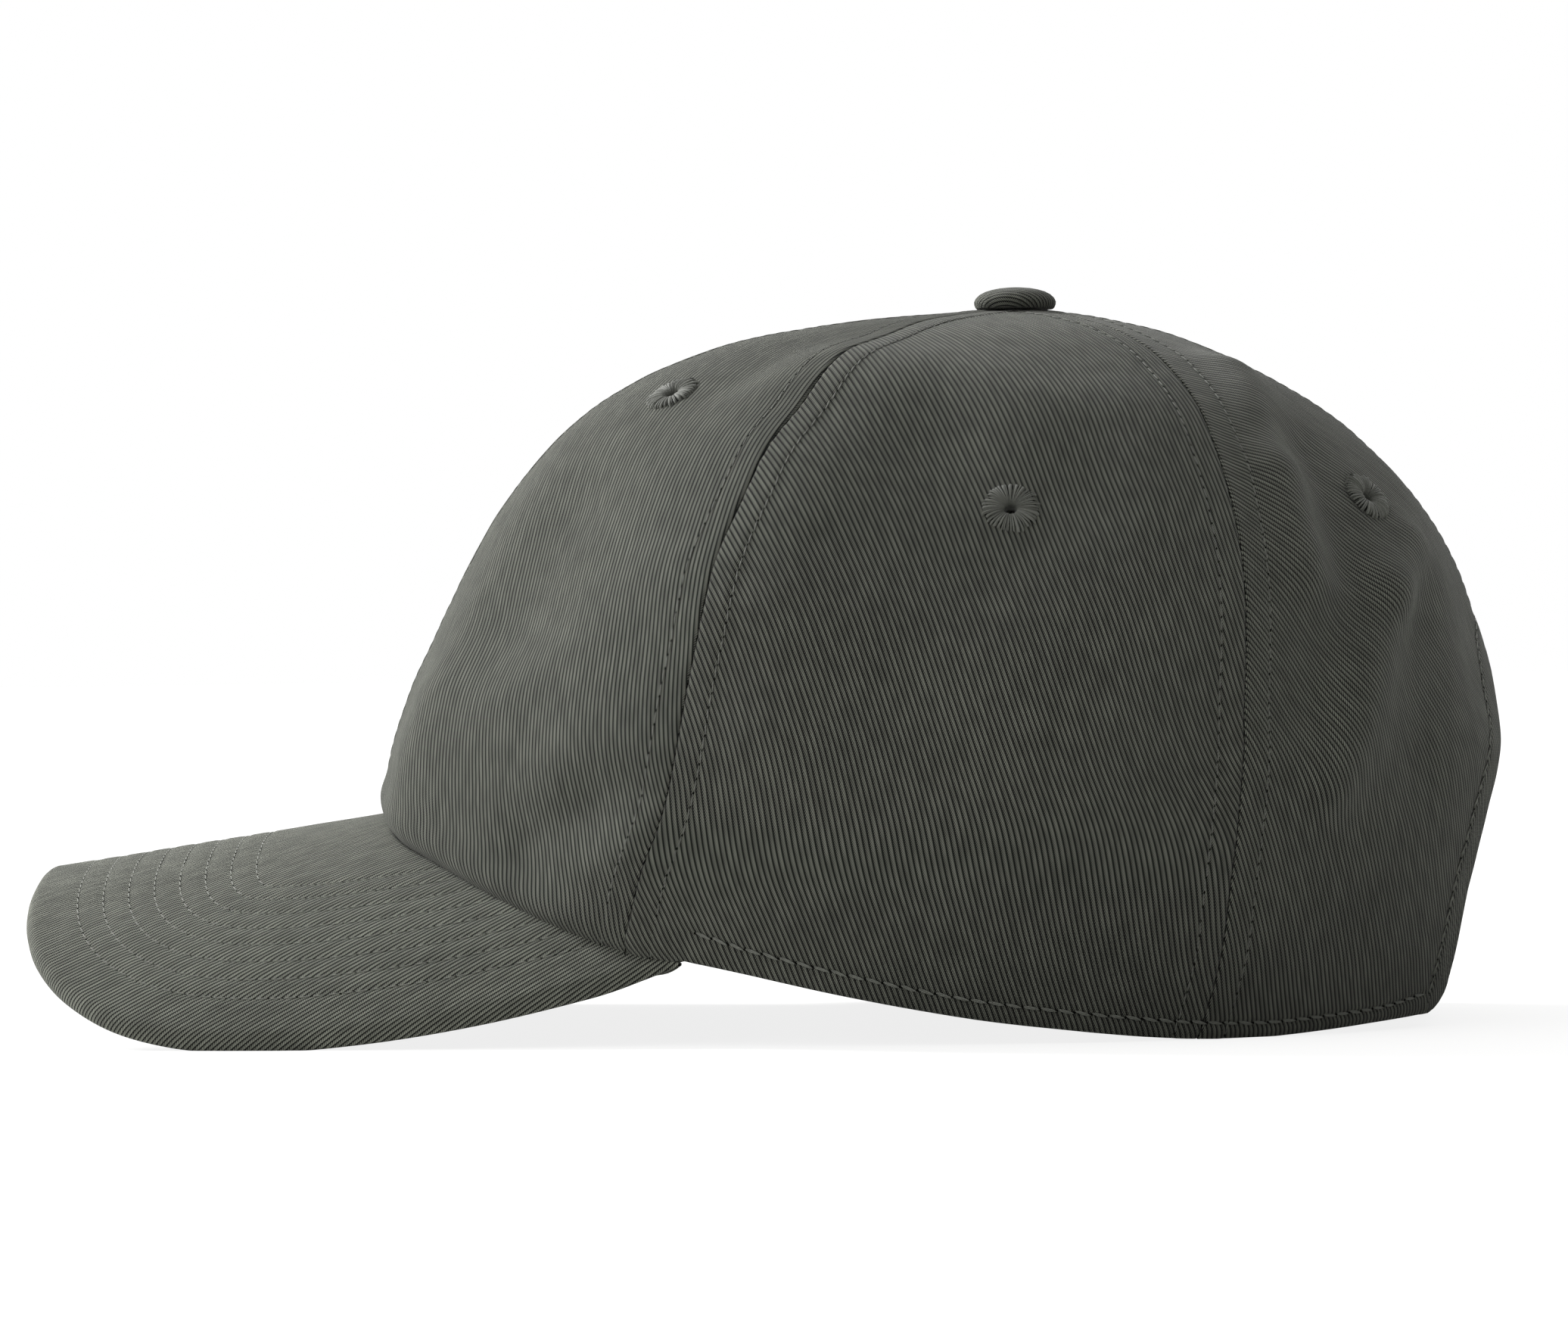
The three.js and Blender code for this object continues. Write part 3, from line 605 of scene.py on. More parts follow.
def flat_pattern(start, end):
    """The cloth of a panel laid flat: a grid of (level, share of the way across) to places on the cloth in mm.
    Each level's line is rolled out from the panel's middle with its own turning, so the cloth keeps its lengths."""
    columns, rows = 120, 240
    levels = np.linspace(0, TOP_LEVEL, rows + 1)
    share, level = np.meshgrid(np.linspace(0, 1, columns + 1), levels)
    angle = start(level) + (end(level) - start(level)) * share
    points, normals = crown_base(angle, level), crown_normal(angle, level)
    middle = columns // 2
    steps = np.diff(points, axis=1)
    lengths = np.linalg.norm(steps, axis=-1)
    ways = steps / lengths[..., None]
    turns = np.zeros(share.shape)
    turns[:, 1:-1] = np.einsum("ijk,ijk->ij", np.cross(ways[:, :-1], ways[:, 1:]), normals[:, 1:-1])
    grain = unit(np.gradient(points[:, middle], axis=0))
    lean = np.arcsin(np.clip(np.einsum("ij,ij->i", grain, ways[:, middle]), -1, 1))
    turns, lean = evened(turns), evened(lean)
    heading = np.cumsum(turns, axis=1)
    heading += (-lean - heading[:, middle] + turns[:, middle] / 2)[:, None]
    across, rise = (
        np.cumsum(np.pad(lengths * part(heading[:, :-1]), ((0, 0), (1, 0))), axis=1) for part in (np.cos, np.sin)
    )
    across -= across[:, middle, None]
    rise += (along_path(points[:, middle]) - rise[:, middle])[:, None]
    return levels, np.stack([across, rise], -1)


def on_flat_pattern(pattern, share, level):
    """Reads the flat pattern between its grid points."""
    levels, places = pattern
    rows, columns = places.shape[0] - 1, places.shape[1] - 1
    y = np.clip(level / levels[-1], 0, 1) * rows
    x = np.clip(share, 0, 1) * columns
    i, j = np.minimum(y.astype(int), rows - 1), np.minimum(x.astype(int), columns - 1)
    ty, tx = (y - i)[..., None], (x - j)[..., None]
    low = places[i, j] * (1 - tx) + places[i, j + 1] * tx
    high = places[i + 1, j] * (1 - tx) + places[i + 1, j + 1] * tx
    return low * (1 - ty) + high * ty


def cut(cloth, piece):
    """Turns a pattern piece on the cloth, so that its ridges lean as the cutter laid them."""
    turn = math.radians(CUT[piece])
    return cloth @ np.array([[math.cos(turn), -math.sin(turn)], [math.sin(turn), math.cos(turn)]])


def wrinkles(points):
    """Small uneven swells of worn cloth, in mm."""
    flat = points.reshape(-1, 3)
    swells = [sum(height * noise.noise(Vector(point) / size) for size, height in WRINKLES) for point in flat]
    return np.array(swells).reshape(points.shape[:-1])


def seam_relief(distance, row):
    """The seam's groove, the doubled cloth beside it and the pull of its stitch row."""
    doubled = SEAM["doubled"] * ramp(distance, *SEAM_RISE) * (1 - ramp(distance, row, row + SEAM["step"]))
    pull = SEAM["pull"] * dent(distance - row, SEAM["pull_width"])
    return doubled - SEAM["groove"] * dent(distance, SEAM["groove_width"]) - pull - SEAM["even"] / 2


def rim_relief(angle, distance):
    """The rolled edge of the free rim and the pull of its stitch row. In front the cloth tucks in at the visor."""
    row = np.interp(angle, *zip(*RIM_ROW))
    roll = EDGE["roll"] * dent(distance, EDGE["roll_width"])
    doubled = EDGE["doubled"] * (1 - ramp(distance, row, row + EDGE["step"]))
    sewn = 1 - ramp(angle, RIM_ROW_ENDS[1], RIM_ROW_ENDS[1] + 1)
    free = doubled - roll - EDGE["pull"] * dent(distance - row, EDGE["pull_width"]) * sewn
    tucked = -TUCK["depth"] * dent(distance, TUCK["width"])
    tucked += TUCK["overhang"] * dent(distance - TUCK["overhang_at"], TUCK["overhang_width"])
    corner, blend = VISOR_CORNER["angle"], VISOR_CORNER["blend"]
    share = ramp(angle, corner - blend, corner + blend)
    return tucked * (1 - share) + free * share


def hem_relief(distance, to_edge, to_rim):
    """The doubled strip along the back opening, the pull of its stitch row, and its edge, which rolls inwards
    down to the rim."""
    doubled = HEM["doubled"] * (1 - ramp(distance, HEM["width"], HEM["width"] + HEM["step"]))
    roll = EDGE["roll"] * dent(to_edge, EDGE["roll_width"]) * (1 - dent(to_rim, EDGE["roll_width"]))
    pull = HEM["pull"] * dent(distance - HEM["width"], HEM["pull_width"]) * ramp(to_rim, *HEM_ROW_FADES)
    return doubled - roll - pull


def arch_line():
    """The edge of the back opening on the wearer's left, as close points."""
    foot = level_at(ARCH["foot"] - ARCH["below_rim"])
    levels = foot + (ARCH_LEVEL - foot) * np.sin(np.linspace(0, math.pi / 2, 300))
    return crown_point(arch_angle(levels), levels)


def hem_line():
    """The line that the strip round the back opening keeps to. Where the edge rounds its lower corner, the strip
    runs straight on down to the rim."""
    edge = arch_line()
    upright = edge[edge[:, 2] > ARCH["foot"] + ARCH_CORNER["height"]]
    down = unit(upright[0] - upright[8])
    # 12 mm more, in steps of 0.2 mm, take it past the rim
    return np.concatenate([upright[0] + down * np.linspace(12, 0.2, 60)[:, None], upright])


def crowded(count, strength):
    """Shares from 0 to 1 that stand closer together at both ends."""
    t = np.linspace(0, 1, count + 1)
    return t - strength * np.sin(2 * math.pi * t) / (2 * math.pi)


def panel_lattice(kind):
    """Angle and level of every grid point of a panel."""
    start, end = PANEL_SEAMS[kind]
    share = crowded(PANELS[kind]["columns"], SEAM_CROWDING)

    def angle_at(level):
        angle = start(level) + (end(level) - start(level)) * share
        if kind == "back":
            angle = angle - (180 - arch_angle(level)) * share**2
        return angle

    def past_edge(level):
        angle = angle_at(level)
        point = crown_point(angle, level)
        return point[..., 2] > edge_height(angle, point)

    foot = bisect(0 * share, 0 * share + EDGE_LIMIT, past_edge)
    t = np.linspace(0, 1, PANELS[kind]["rows"] + 1)[:, None]
    if kind == "back":
        beside, even = BACK_ROWS["beside_arch"], BACK_ROWS["even"]
        below = np.clip(t / beside, 0, 1)
        above = np.clip((t - beside) / (1 - beside), 0, 1)
        below = even * below + (1 - even) * (1 - np.cos(math.pi * below)) / 2
        level = foot + (ARCH_LEVEL - foot) * below + (TOP_LEVEL - ARCH_LEVEL) * above
    else:
        level = foot + (TOP_LEVEL - foot) * (t * (1 - RIM_CROWDING) + RIM_CROWDING * t**2)
    return angle_at(level), level


PANEL_SEAMS = {
    "front": (front_centre, seam_front),
    "side": (seam_front, seam_back),
    "back": (seam_back, back_centre),
}


def seam_points(seam):
    levels = np.linspace(0, TOP_LEVEL, 400)
    return crown_point(seam(levels), levels)


def panel_surface(kind, row):
    """A panel's outer face on the wearer's left: points, relief and places on the flat cloth."""
    start, end = PANEL_SEAMS[kind]
    angle, level = panel_lattice(kind)
    smooth = crown_point(angle, level)
    to_rim = distance_to(smooth, smooth[0])
    relief = seam_relief(distance_to(smooth, seam_points(start)), row) + rim_relief(angle, to_rim)
    if kind == "back":
        levels = np.linspace(ARCH_LEVEL, TOP_LEVEL, 300)
        to_centre = distance_to(smooth, crown_point(back_centre(levels), levels))
        relief += seam_relief(to_centre, row) * ramp(level, ARCH_LEVEL, ARCH_LEVEL + SEAM_SETS_IN)
        relief += hem_relief(distance_to(smooth, hem_line()), distance_to(smooth, arch_line()), to_rim)
    else:
        relief += seam_relief(distance_to(smooth, seam_points(end)), row)
    low, high = start(level), end(level)
    cloth = on_flat_pattern(flat_pattern(start, end), (angle - low) / (high - low), level)
    return smooth, crown_normal(angle, level), relief, cloth


def hem_strip(smooth):
    """The strip that binds the back opening: places on its cloth, and which grid points it covers."""
    line = hem_line()
    away = distance_to(smooth, line)
    nearest = np.array([np.linalg.norm(row[:, None] - line[None], axis=-1).argmin(axis=1) for row in smooth])
    return np.stack([-away, along_path(line)[nearest]], -1), away < HEM["width"] + HEM["margin"]


def shift_to_frame():
    """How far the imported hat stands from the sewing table's zero, in mm: told by the button."""
    low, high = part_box("top_button")
    return Vector(((low.x + high.x) / 2 / MM, (low.y + high.y) / 2 / MM - APEX_Y, 0))


SHIFT = shift_to_frame()


def placed(point):
    """A place in millimetres as one in the scene."""
    return (Vector(point) + SHIFT) * MM


def grid_mesh(places, cloth):
    """A bmesh grid laid on rows of places, with the cloth's own places in mm as its UV map. Beside it, the row
    and the column of each vertex."""
    rows, columns = places.shape[0] - 1, places.shape[1] - 1
    bm = bmesh.new()
    bmesh.ops.create_grid(bm, x_segments=columns, y_segments=rows, size=1)
    layer = bm.loops.layers.uv.new("cloth")
    spots = {}
    for vert in bm.verts:
        spot = round((vert.co.y + 1) / 2 * rows), round((vert.co.x + 1) / 2 * columns)
        spots[vert.index] = spot
        vert.co = placed(places[spot])
    for face in bm.faces:
        for loop in face.loops:
            loop[layer].uv = cloth[spots[loop.vert.index]]
    return bm, spots


def close_skin(bm, reach):
    """Joins the meeting edges of a grid, fills its open ends and turns its faces outwards."""
    bmesh.ops.remove_doubles(bm, verts=bm.verts, dist=reach)
    bmesh.ops.holes_fill(bm, edges=[edge for edge in bm.edges if edge.is_boundary], sides=0)
    bmesh.ops.recalc_face_normals(bm, faces=bm.faces)


def add_object(name, data):
    made = bpy.data.objects.new(name, data)
    bpy.context.scene.collection.objects.link(made)
    return made


def add_piece(name, bm, material, slot, *nodes):
    """Makes an object of a bmesh, riding on the hat, in place of CAD nodes."""
    for face in bm.faces:
        face.smooth = True
    mesh = bpy.data.meshes.new(name)
    bm.to_mesh(mesh)
    bm.free()
    mesh.materials.append(material)
    piece = add_object(name, mesh)
    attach(piece, "root")
    if nodes:
        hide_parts(*nodes)
    return piece


def add_wall(piece, thickness):
    """Gives a sheet its thickness, inwards from its outer face."""
    modifier = piece.modifiers.new("wall", "SOLIDIFY")
    modifier.thickness = thickness * MM
    modifier.offset = -1
    return modifier


def add_node(tree, kind, inputs=(), **settings):
    """Adds a shader node with its settings. Its inputs, given by place or by name, are set, or linked to a socket or
    to the first output of a node."""
    made = tree.nodes.new(f"ShaderNode{kind}")
    for name, value in settings.items():
        setattr(made, name, value)
    for key, value in inputs.items() if isinstance(inputs, dict) else enumerate(inputs):
        if isinstance(value, bpy.types.Node):
            value = value.outputs[0]
        if isinstance(value, bpy.types.NodeSocket):
            tree.links.new(value, made.inputs[key])
        else:
            made.inputs[key].default_value = value
    return made


def new_material(name):
    """An empty node material and its node tree."""
    material = bpy.data.materials.new(name)
    material.use_nodes = True
    material.node_tree.nodes.clear()
    return material, material.node_tree


def washed_cotton_twill(name="washed_cotton_twill", painted_light_by=1.0):
    """Cotton twill, garment-washed: rope-like ridges with faded tops and dark grooves between them, dark from the dye
    they keep and from painted shade. Each ridge is a row of slanted floats. A dry, matte cloth whose fuzz brightens a
    little at grazing angles."""
    if name in bpy.data.materials:
        return bpy.data.materials[name]
    cloth = bpy.context.scene.cap_cloth
    pitch, lean = cloth.twill_pitch / MM, cloth.twill_lean
    # One float of the warp shows every 0.46 mm along a ridge and crosses it at 40 degrees
    float_length = 0.46
    float_slant = pitch / float_length / math.tan(math.radians(40))
    material, tree = new_material(name)
    place = add_node(tree, "UVMap", uv_map="cloth").outputs["UV"]
    # Soft bends of the threads, some 20 mm long
    bends = add_node(tree, "TexNoise", {"Vector": place, "Scale": 0.05, "Detail": 0.0}).outputs["Color"]
    moved = add_node(tree, "VectorMath", [bends, (0.2, 0.2, 0), place], operation="MULTIPLY_ADD")
    sin, cos = math.sin(lean), math.cos(lean)
    over = add_node(tree, "VectorMath", [moved, (cos / pitch, sin / pitch, 0)], operation="DOT_PRODUCT")
    across = over.outputs["Value"]
    run = (-sin / float_length, cos / float_length, 0)
    along = add_node(tree, "VectorMath", [moved, run], operation="DOT_PRODUCT").outputs["Value"]
    cell = add_node(tree, "Math", [across], operation="FRACT")
    ridge = add_node(tree, "Math", [across], operation="FLOOR")
    # The floats cross each ridge on the slant, and make its sides jagged
    slanted = add_node(tree, "Math", [cell, -float_slant, along], operation="MULTIPLY_ADD")
    stepped = add_node(tree, "Math", [ridge, 0.37, slanted], operation="MULTIPLY_ADD")
    wound = add_node(tree, "Math", [stepped, 2 * math.pi], operation="MULTIPLY")
    floats = add_node(tree, "Math", [wound], operation="COSINE")
    jagged = add_node(tree, "Math", [floats, 0.13, cell], operation="MULTIPLY_ADD")
    offset = add_node(tree, "Math", [jagged, 0.5], operation="SUBTRACT")
    away = add_node(tree, "Math", [offset], operation="ABSOLUTE")
    sides = add_node(tree, "Math", [away, 2.0], operation="MULTIPLY")
    fall = add_node(tree, "Math", [sides, 2.0], operation="POWER")
    round_top = add_node(tree, "Math", [1.0, fall], operation="SUBTRACT", use_clamp=True)
    grain = add_node(tree, "Math", [floats, 0.29, 0.71], operation="MULTIPLY_ADD")
    height = add_node(tree, "Math", [round_top, grain], operation="MULTIPLY")
    # Uneven yarn: each ridge keeps its own tone for a few millimetres. The wash left wider pale places.
    run_on = add_node(tree, "Math", [along, 0.09], operation="MULTIPLY")
    spot = add_node(tree, "CombineXYZ", [ridge, run_on, 0.0])
    yarn = add_node(tree, "TexNoise", {"Vector": spot, "Scale": 0.9, "Detail": 0.0}).outputs["Fac"]
    wash = add_node(tree, "TexNoise", {"Vector": place, "Scale": 0.06, "Detail": 1.0}).outputs["Fac"]
    yarn_tone = add_node(tree, "MapRange", {0: yarn, 1: 0.3, 2: 0.7, 3: 0.82, 4: 1.18})
    wash_tone = add_node(tree, "MapRange", {0: wash, 1: 0.3, 2: 0.7, 3: 0.92, 4: 1.08})
    tone = add_node(tree, "Math", [yarn_tone, wash_tone], operation="MULTIPLY")
    # Where the ridges fall away to the grooves the colour turns to the groove colour: dye and painted shade
    bare = {0: height, 1: 0.32, 2: 0.72}
    faded = add_node(tree, "MapRange", bare, interpolation_type="SMOOTHSTEP")
    # Inputs 0, 6 and 7 of a colour mix are its share and its two colours
    # On the visor the ridge colour is made paler by a factor, as painted light
    dyes = {0: faded, 6: (*cloth.groove_dye_and_shade_colour, 1), 7: (*[c * painted_light_by for c in cloth.ridge_colour], 1)}
    dyed = add_node(tree, "Mix", dyes, data_type="RGBA").outputs[2]
    colour = add_node(tree, "VectorMath", {0: dyed, "Scale": tone}, operation="SCALE")
    bump = add_node(tree, "Bump", {"Height": height, "Strength": 0.75, "Distance": 0.22 * MM})
    cloth_shader = {
        "Base Color": colour,
        "Roughness": 0.95,
        "Specular IOR Level": 0.2,
        "Sheen Weight": 0.12,
        "Sheen Roughness": 0.5,
        "Normal": bump,
    }
    shader = add_node(tree, "BsdfPrincipled", cloth_shader)
    add_node(tree, "OutputMaterial", [shader])
    return material


def needle_hole():
    """Painted shade: the dark of a needle's hole, put on flat discs that lie just over the cloth. They take the groove
    colour, as little light comes back out of such a hole.
    """
    name = "needle_hole"
    if name in bpy.data.materials:
        return bpy.data.materials[name]
    material, tree = new_material(name)
    shade = (*bpy.context.scene.cap_cloth.groove_dye_and_shade_colour, 1)
    shade_disc_shader = {"Base Color": shade, "Roughness": 1.0, "Specular IOR Level": 0.0}
    shader = add_node(tree, "BsdfPrincipled", shade_disc_shader)
    add_node(tree, "OutputMaterial", [shader])
    return material


def plain_woven_cotton():
    """Plain-woven cotton tape: a fine over-and-under weave, flatter and more even than the twill."""
    cloth = bpy.context.scene.cap_cloth
    # Threads 0.5 mm apart both ways
    thread = 0.5
    material, tree = new_material("plain_woven_cotton")
    place = add_node(tree, "UVMap", uv_map="cloth").outputs["UV"]
    wound = add_node(tree, "VectorMath", {0: place, "Scale": math.pi / thread}, operation="SCALE")
    parts = add_node(tree, "SeparateXYZ", [wound])
    warp = add_node(tree, "Math", [parts.outputs[0]], operation="SINE")
    weft = add_node(tree, "Math", [parts.outputs[1]], operation="SINE")
    weave = add_node(tree, "Math", [warp, weft], operation="MULTIPLY")
    height = add_node(tree, "Math", [weave], operation="ABSOLUTE")
    wash = add_node(tree, "TexNoise", {"Vector": place, "Scale": 0.05, "Detail": 4.0}).outputs["Fac"]
    tone = add_node(tree, "MapRange", {0: wash, 1: 0.3, 2: 0.7, 3: 0.85, 4: 1.1})
    # The weave's low places take the groove colour, so they carry its painted shade too
    dark, pale = [c * 1.3 for c in cloth.groove_dye_and_shade_colour], [c * 0.9 for c in cloth.ridge_colour]
    dyed = add_node(tree, "Mix", {0: height, 6: (*dark, 1), 7: (*pale, 1)}, data_type="RGBA").outputs[2]
    colour = add_node(tree, "VectorMath", {0: dyed, "Scale": tone}, operation="SCALE")
    bump = add_node(tree, "Bump", {"Height": height, "Strength": 0.5, "Distance": 0.12 * MM})
    cloth_shader = {
        "Base Color": colour,
        "Roughness": 0.9,
        "Specular IOR Level": 0.25,
        "Sheen Weight": 0.15,
        "Sheen Roughness": 0.5,
        "Normal": bump,
    }
    shader = add_node(tree, "BsdfPrincipled", cloth_shader)
    add_node(tree, "OutputMaterial", [shader])
    return material


def spun_thread(name):
    """Spun sewing thread: two twisted plies with a faint sheen, a little paler than the cloth it lies on."""
    if name in bpy.data.materials:
        return bpy.data.materials[name]
    dye = tuple(c * THREADS[name] for c in bpy.context.scene.cap_stitching.thread_colour)
    material, tree = new_material(name)
    place = add_node(tree, "TexCoord").outputs["Object"]
    # Fibres and plies some 0.2 mm apart
    plies = {"Vector": place, "Scale": 1 / (0.2 * MM), "Detail": 2.0}
    fibres = add_node(tree, "TexNoise", plies).outputs["Fac"]
    tone = add_node(tree, "MapRange", {0: fibres, 1: 0.3, 2: 0.7, 3: 0.75, 4: 1.2})
    colour = add_node(tree, "VectorMath", {0: dye, "Scale": tone}, operation="SCALE")
    bump = add_node(tree, "Bump", {"Height": fibres, "Strength": 0.5, "Distance": 0.08 * MM})
    spun = {"Base Color": colour, "Roughness": 0.7, "Specular IOR Level": 0.4, "Sheen Weight": 0.2, "Normal": bump}
    shader = add_node(tree, "BsdfPrincipled", spun)
    add_node(tree, "OutputMaterial", [shader])
    return material


def antique_brass():
    """Antiqued stamped brass: a dull brown metal with paler rubbed spots and soft reflections."""
    material, tree = new_material("antique_brass")
    place = add_node(tree, "TexCoord").outputs["Object"]
    # Tarnish in spots of about 4 mm
    patches = {"Vector": place, "Scale": 1 / (4 * MM), "Detail": 5.0}
    tarnish = add_node(tree, "TexNoise", patches).outputs["Fac"]
    tones = {0: tarnish, 6: (*linear("5b5340"), 1), 7: (*linear("93866a"), 1)}
    colour = add_node(tree, "Mix", tones, data_type="RGBA").outputs[2]
    rough = add_node(tree, "MapRange", {0: tarnish, 3: 0.3, 4: 0.55})
    metal = {"Base Color": colour, "Metallic": 1.0, "Roughness": rough}
    shader = add_node(tree, "BsdfPrincipled", metal)
    add_node(tree, "OutputMaterial", [shader])
    return material


def punch_eyelet(bm, place):
    """Cuts the cloth away where an eyelet's hole goes through it."""
    near = [face for face in bm.faces if (face.calc_center_median() - place).length < EYELET["cut"] * MM]
    bmesh.ops.delete(bm, geom=near, context="FACES")


def thin_in_grooves(piece, spots, relief, wall):
    """Gives the panel its wall: thinner where the outer face dips, so that the inner face stays smooth."""
    thickest = wall + float(relief.max())
    group = piece.vertex_groups.new(name="wall")
    for index, spot in enumerate(spots):
        group.add([index], max(THINNEST, (wall + relief[spot]) / thickest), "REPLACE")
    add_wall(piece, thickest).vertex_group = group.name


def crown_panels(kind):
    """Both panels of a kind, left and right. The cloth's ridges lean the same way on both, as on one bolt."""
    wall = bpy.context.scene.cap_cloth.wall / MM
    row = bpy.context.scene.cap_stitching.seam_offset / MM
    smooth, normals, relief, pattern = panel_surface(kind, row)
    strip, covered = hem_strip(smooth) if kind == "back" else (pattern, np.zeros(relief.shape, bool))
    angle, z = EYELETS[kind]
    for side, sign in SIDES:
        mirror = np.array([sign, 1, 1])
        base = smooth * mirror
        out = relief + wrinkles(base)
        cloth_side = np.array([sign, 1])
        bm, spots = grid_mesh(base + normals * mirror * out[..., None], cut(pattern * cloth_side, kind))
        layer = bm.loops.layers.uv["cloth"]
        strip_places = cut(strip * cloth_side, "hem")
        for face in bm.faces:
            if all(covered[spots[vert.index]] for vert in face.verts):
                for loop in face.loops:
                    loop[layer].uv = strip_places[spots[loop.vert.index]]
        if sign < 0:
            bmesh.ops.reverse_faces(bm, faces=bm.faces)
        bm.verts.index_update()
        spot_layer = bm.verts.layers.int.new("spot")
        for vert in bm.verts:
            vert[spot_layer] = vert.index
        punch_eyelet(bm, placed(crown_point(np.float64(angle), level_at(z)) * mirror))
        loose = [vert for vert in bm.verts if not vert.link_faces]
        bmesh.ops.delete(bm, geom=loose, context="VERTS")
        kept = [spots[vert[spot_layer]] for vert in bm.verts]
        bm.verts.layers.int.remove(spot_layer)
        name = f"{kind}_panel_{side}"
        piece = add_piece(f"{name}_cloth", bm, washed_cotton_twill(), "twill", name)
        thin_in_grooves(piece, kept, out, wall)


def stitch_shape(plies):
    """One stitch, lying along Z with its top towards Y: a thread, or two plies wound round each other."""
    shape = bmesh.new()
    for k in range(plies):
        verts = bmesh.ops.create_uvsphere(shape, u_segments=6, v_segments=5, radius=1)["verts"]
        if plies > 1:
            bmesh.ops.scale(shape, vec=(PLY["width"], PLY["width"], 1), verts=verts)
            bmesh.ops.translate(shape, vec=(PLY["apart"] - k, 0, 0), verts=verts)
            for vert in verts:
                vert.co = Matrix.Rotation(PLY["twist"] * vert.co.z, 3, "Z") @ vert.co
    return shape


def point_at(values, steps, distance):
    return Vector([np.interp(distance, steps, values[:, k]) for k in range(3)])


def lay_copies(template, target, places):
    """Adds a copy of a small mesh at each place, given as its middle and its three axes in mm."""
    mesh = bpy.data.meshes.new("copy")
    for middle, axes in places:
        matrix = Matrix([axis * MM for axis in axes]).transposed().to_4x4()
        copy = template.copy()
        copy.transform(Matrix.Translation(placed(middle)) @ matrix)
        copy.to_mesh(mesh)
        copy.free()
        target.from_mesh(mesh)
    bpy.data.meshes.remove(mesh)


def painted_shade_disc_row(shade_disc_mesh, path, normals, pitch, width, length):
    """Painted shade: dark discs along a path, one at the end of each stitch, just clear of the cloth."""
    clear, step = 0.03, 0.1
    shade_disc = bmesh.new()
    bmesh.ops.create_circle(shade_disc, cap_ends=True, segments=6, radius=1)
    steps = along_path(path)
    places = []
    for distance in np.arange(0, steps[-1], pitch):
        up = point_at(normals, steps, distance).normalized()
        along = point_at(path, steps, distance + step) - point_at(path, steps, distance - step)
        side = up.cross(along).normalized()
        middle = point_at(path, steps, distance) + up * clear
        places.append((middle, (side * width / 2, side.cross(up) * length / 2, up)))
    lay_copies(shade_disc, shade_disc_mesh, places)
    shade_disc.free()


def stitch_row(bm, shade_disc_mesh, path, normals, pitch, thread, plies=1, cover=STITCH["cover"], yaw=0.0):
    """Lays a row of stitches along close points of a path. Each is a short thread that dives in at both ends,
    where a dark disc of painted shade stands for the needle's hole."""
    steps = along_path(path)
    count = max(int(steps[-1] / pitch), 1)
    pitch = steps[-1] / count
    reach = pitch * cover / 2
    shape, places = stitch_shape(plies), []
    for middle in (np.arange(count) + 0.5) * pitch:
        start, end = point_at(path, steps, middle - reach), point_at(path, steps, middle + reach)
        up = point_at(normals, steps, middle).normalized()
        turn = yaw * (1 + STITCH["uneven"] * noise.noise(start / STITCH["uneven_every"]))
        along = (Matrix.Rotation(turn, 3, up) @ (end - start).normalized()).normalized()
        side = up.cross(along).normalized()
        up = along.cross(side)
        half, radius = (end - start).length / 2, thread / 2
        places.append(((start + end) / 2, (side * radius, up * radius, along * half)))
    lay_copies(shape, bm, places)
    shape.free()
    painted_shade_disc_row(shade_disc_mesh, path, normals, pitch, thread, thread * SHADE_DISC_LENGTH[plies])


def crown_row(bm, shade_disc_mesh, angles, levels, relief, pitch, thread, sign, plies=1, cover=STITCH["cover"], yaw=0.0):
    """A stitch row on the crown along angles and levels, on cloth that stands out by relief."""
    mirror = np.array([sign, 1, 1])
    base = crown_point(angles, levels) * mirror
    normals = crown_normal(angles, levels) * mirror
    out = relief + wrinkles(base) + thread * STITCH["lift"] * (1 + plies)
    stitch_row(bm, shade_disc_mesh, base + normals * out[:, None], normals, pitch, thread, plies, cover, yaw * sign)


def add_stitching(name, bm, shade_disc_mesh, thread):
    add_piece(name, bm, spun_thread(thread), "thread")
    # The dark discs at the stitches' ends are painted shade
    add_piece(f"{name}_needle_holes", shade_disc_mesh, needle_hole(), "thread")


# The crown's seams: the levels where their stitch rows and their dark discs of painted shade begin, the sides of the
# seam that have a row, and the sides of the hat that have the seam
SEAMS = (
    (front_centre, 3.0, 3.0, (1,), (1,)),
    (seam_front, 1.05, 1.05, (-1, 1), (1, -1)),
    (seam_back, 0.05, 0.05, (-1, 1), (1, -1)),
    (back_centre, ARCH_LEVEL + 0.75, ARCH_LEVEL + 0.2, (-1,), (1,)),
)


def seam_levels(lowest):
    return np.linspace(lowest, TOP_LEVEL - ROW_STOPS["below_top"], 500)


def over_edge(angles, points):
    """Which points of the crown lie so far over its edge that they can be sewn."""
    return points[:, 2] > edge_height(angles, points) + ROW_STOPS["over_edge"]


def seam_rows():
    """Every topstitch row of the crown on one side: angles and levels."""
    offset = bpy.context.scene.cap_stitching.seam_offset / MM
    rows = []
    for seam, lowest, _, sides, _ in SEAMS:
        levels = seam_levels(lowest)
        for side in sides:
            angles = seam(levels) + side * degrees_across(seam(levels), levels, offset)
            near = np.abs(angles - seam(levels)) < ROW_STOPS["spread"]
            keep = near & over_edge(angles, crown_point(angles, levels))
            rows.append((angles[keep], levels[keep]))
    return rows


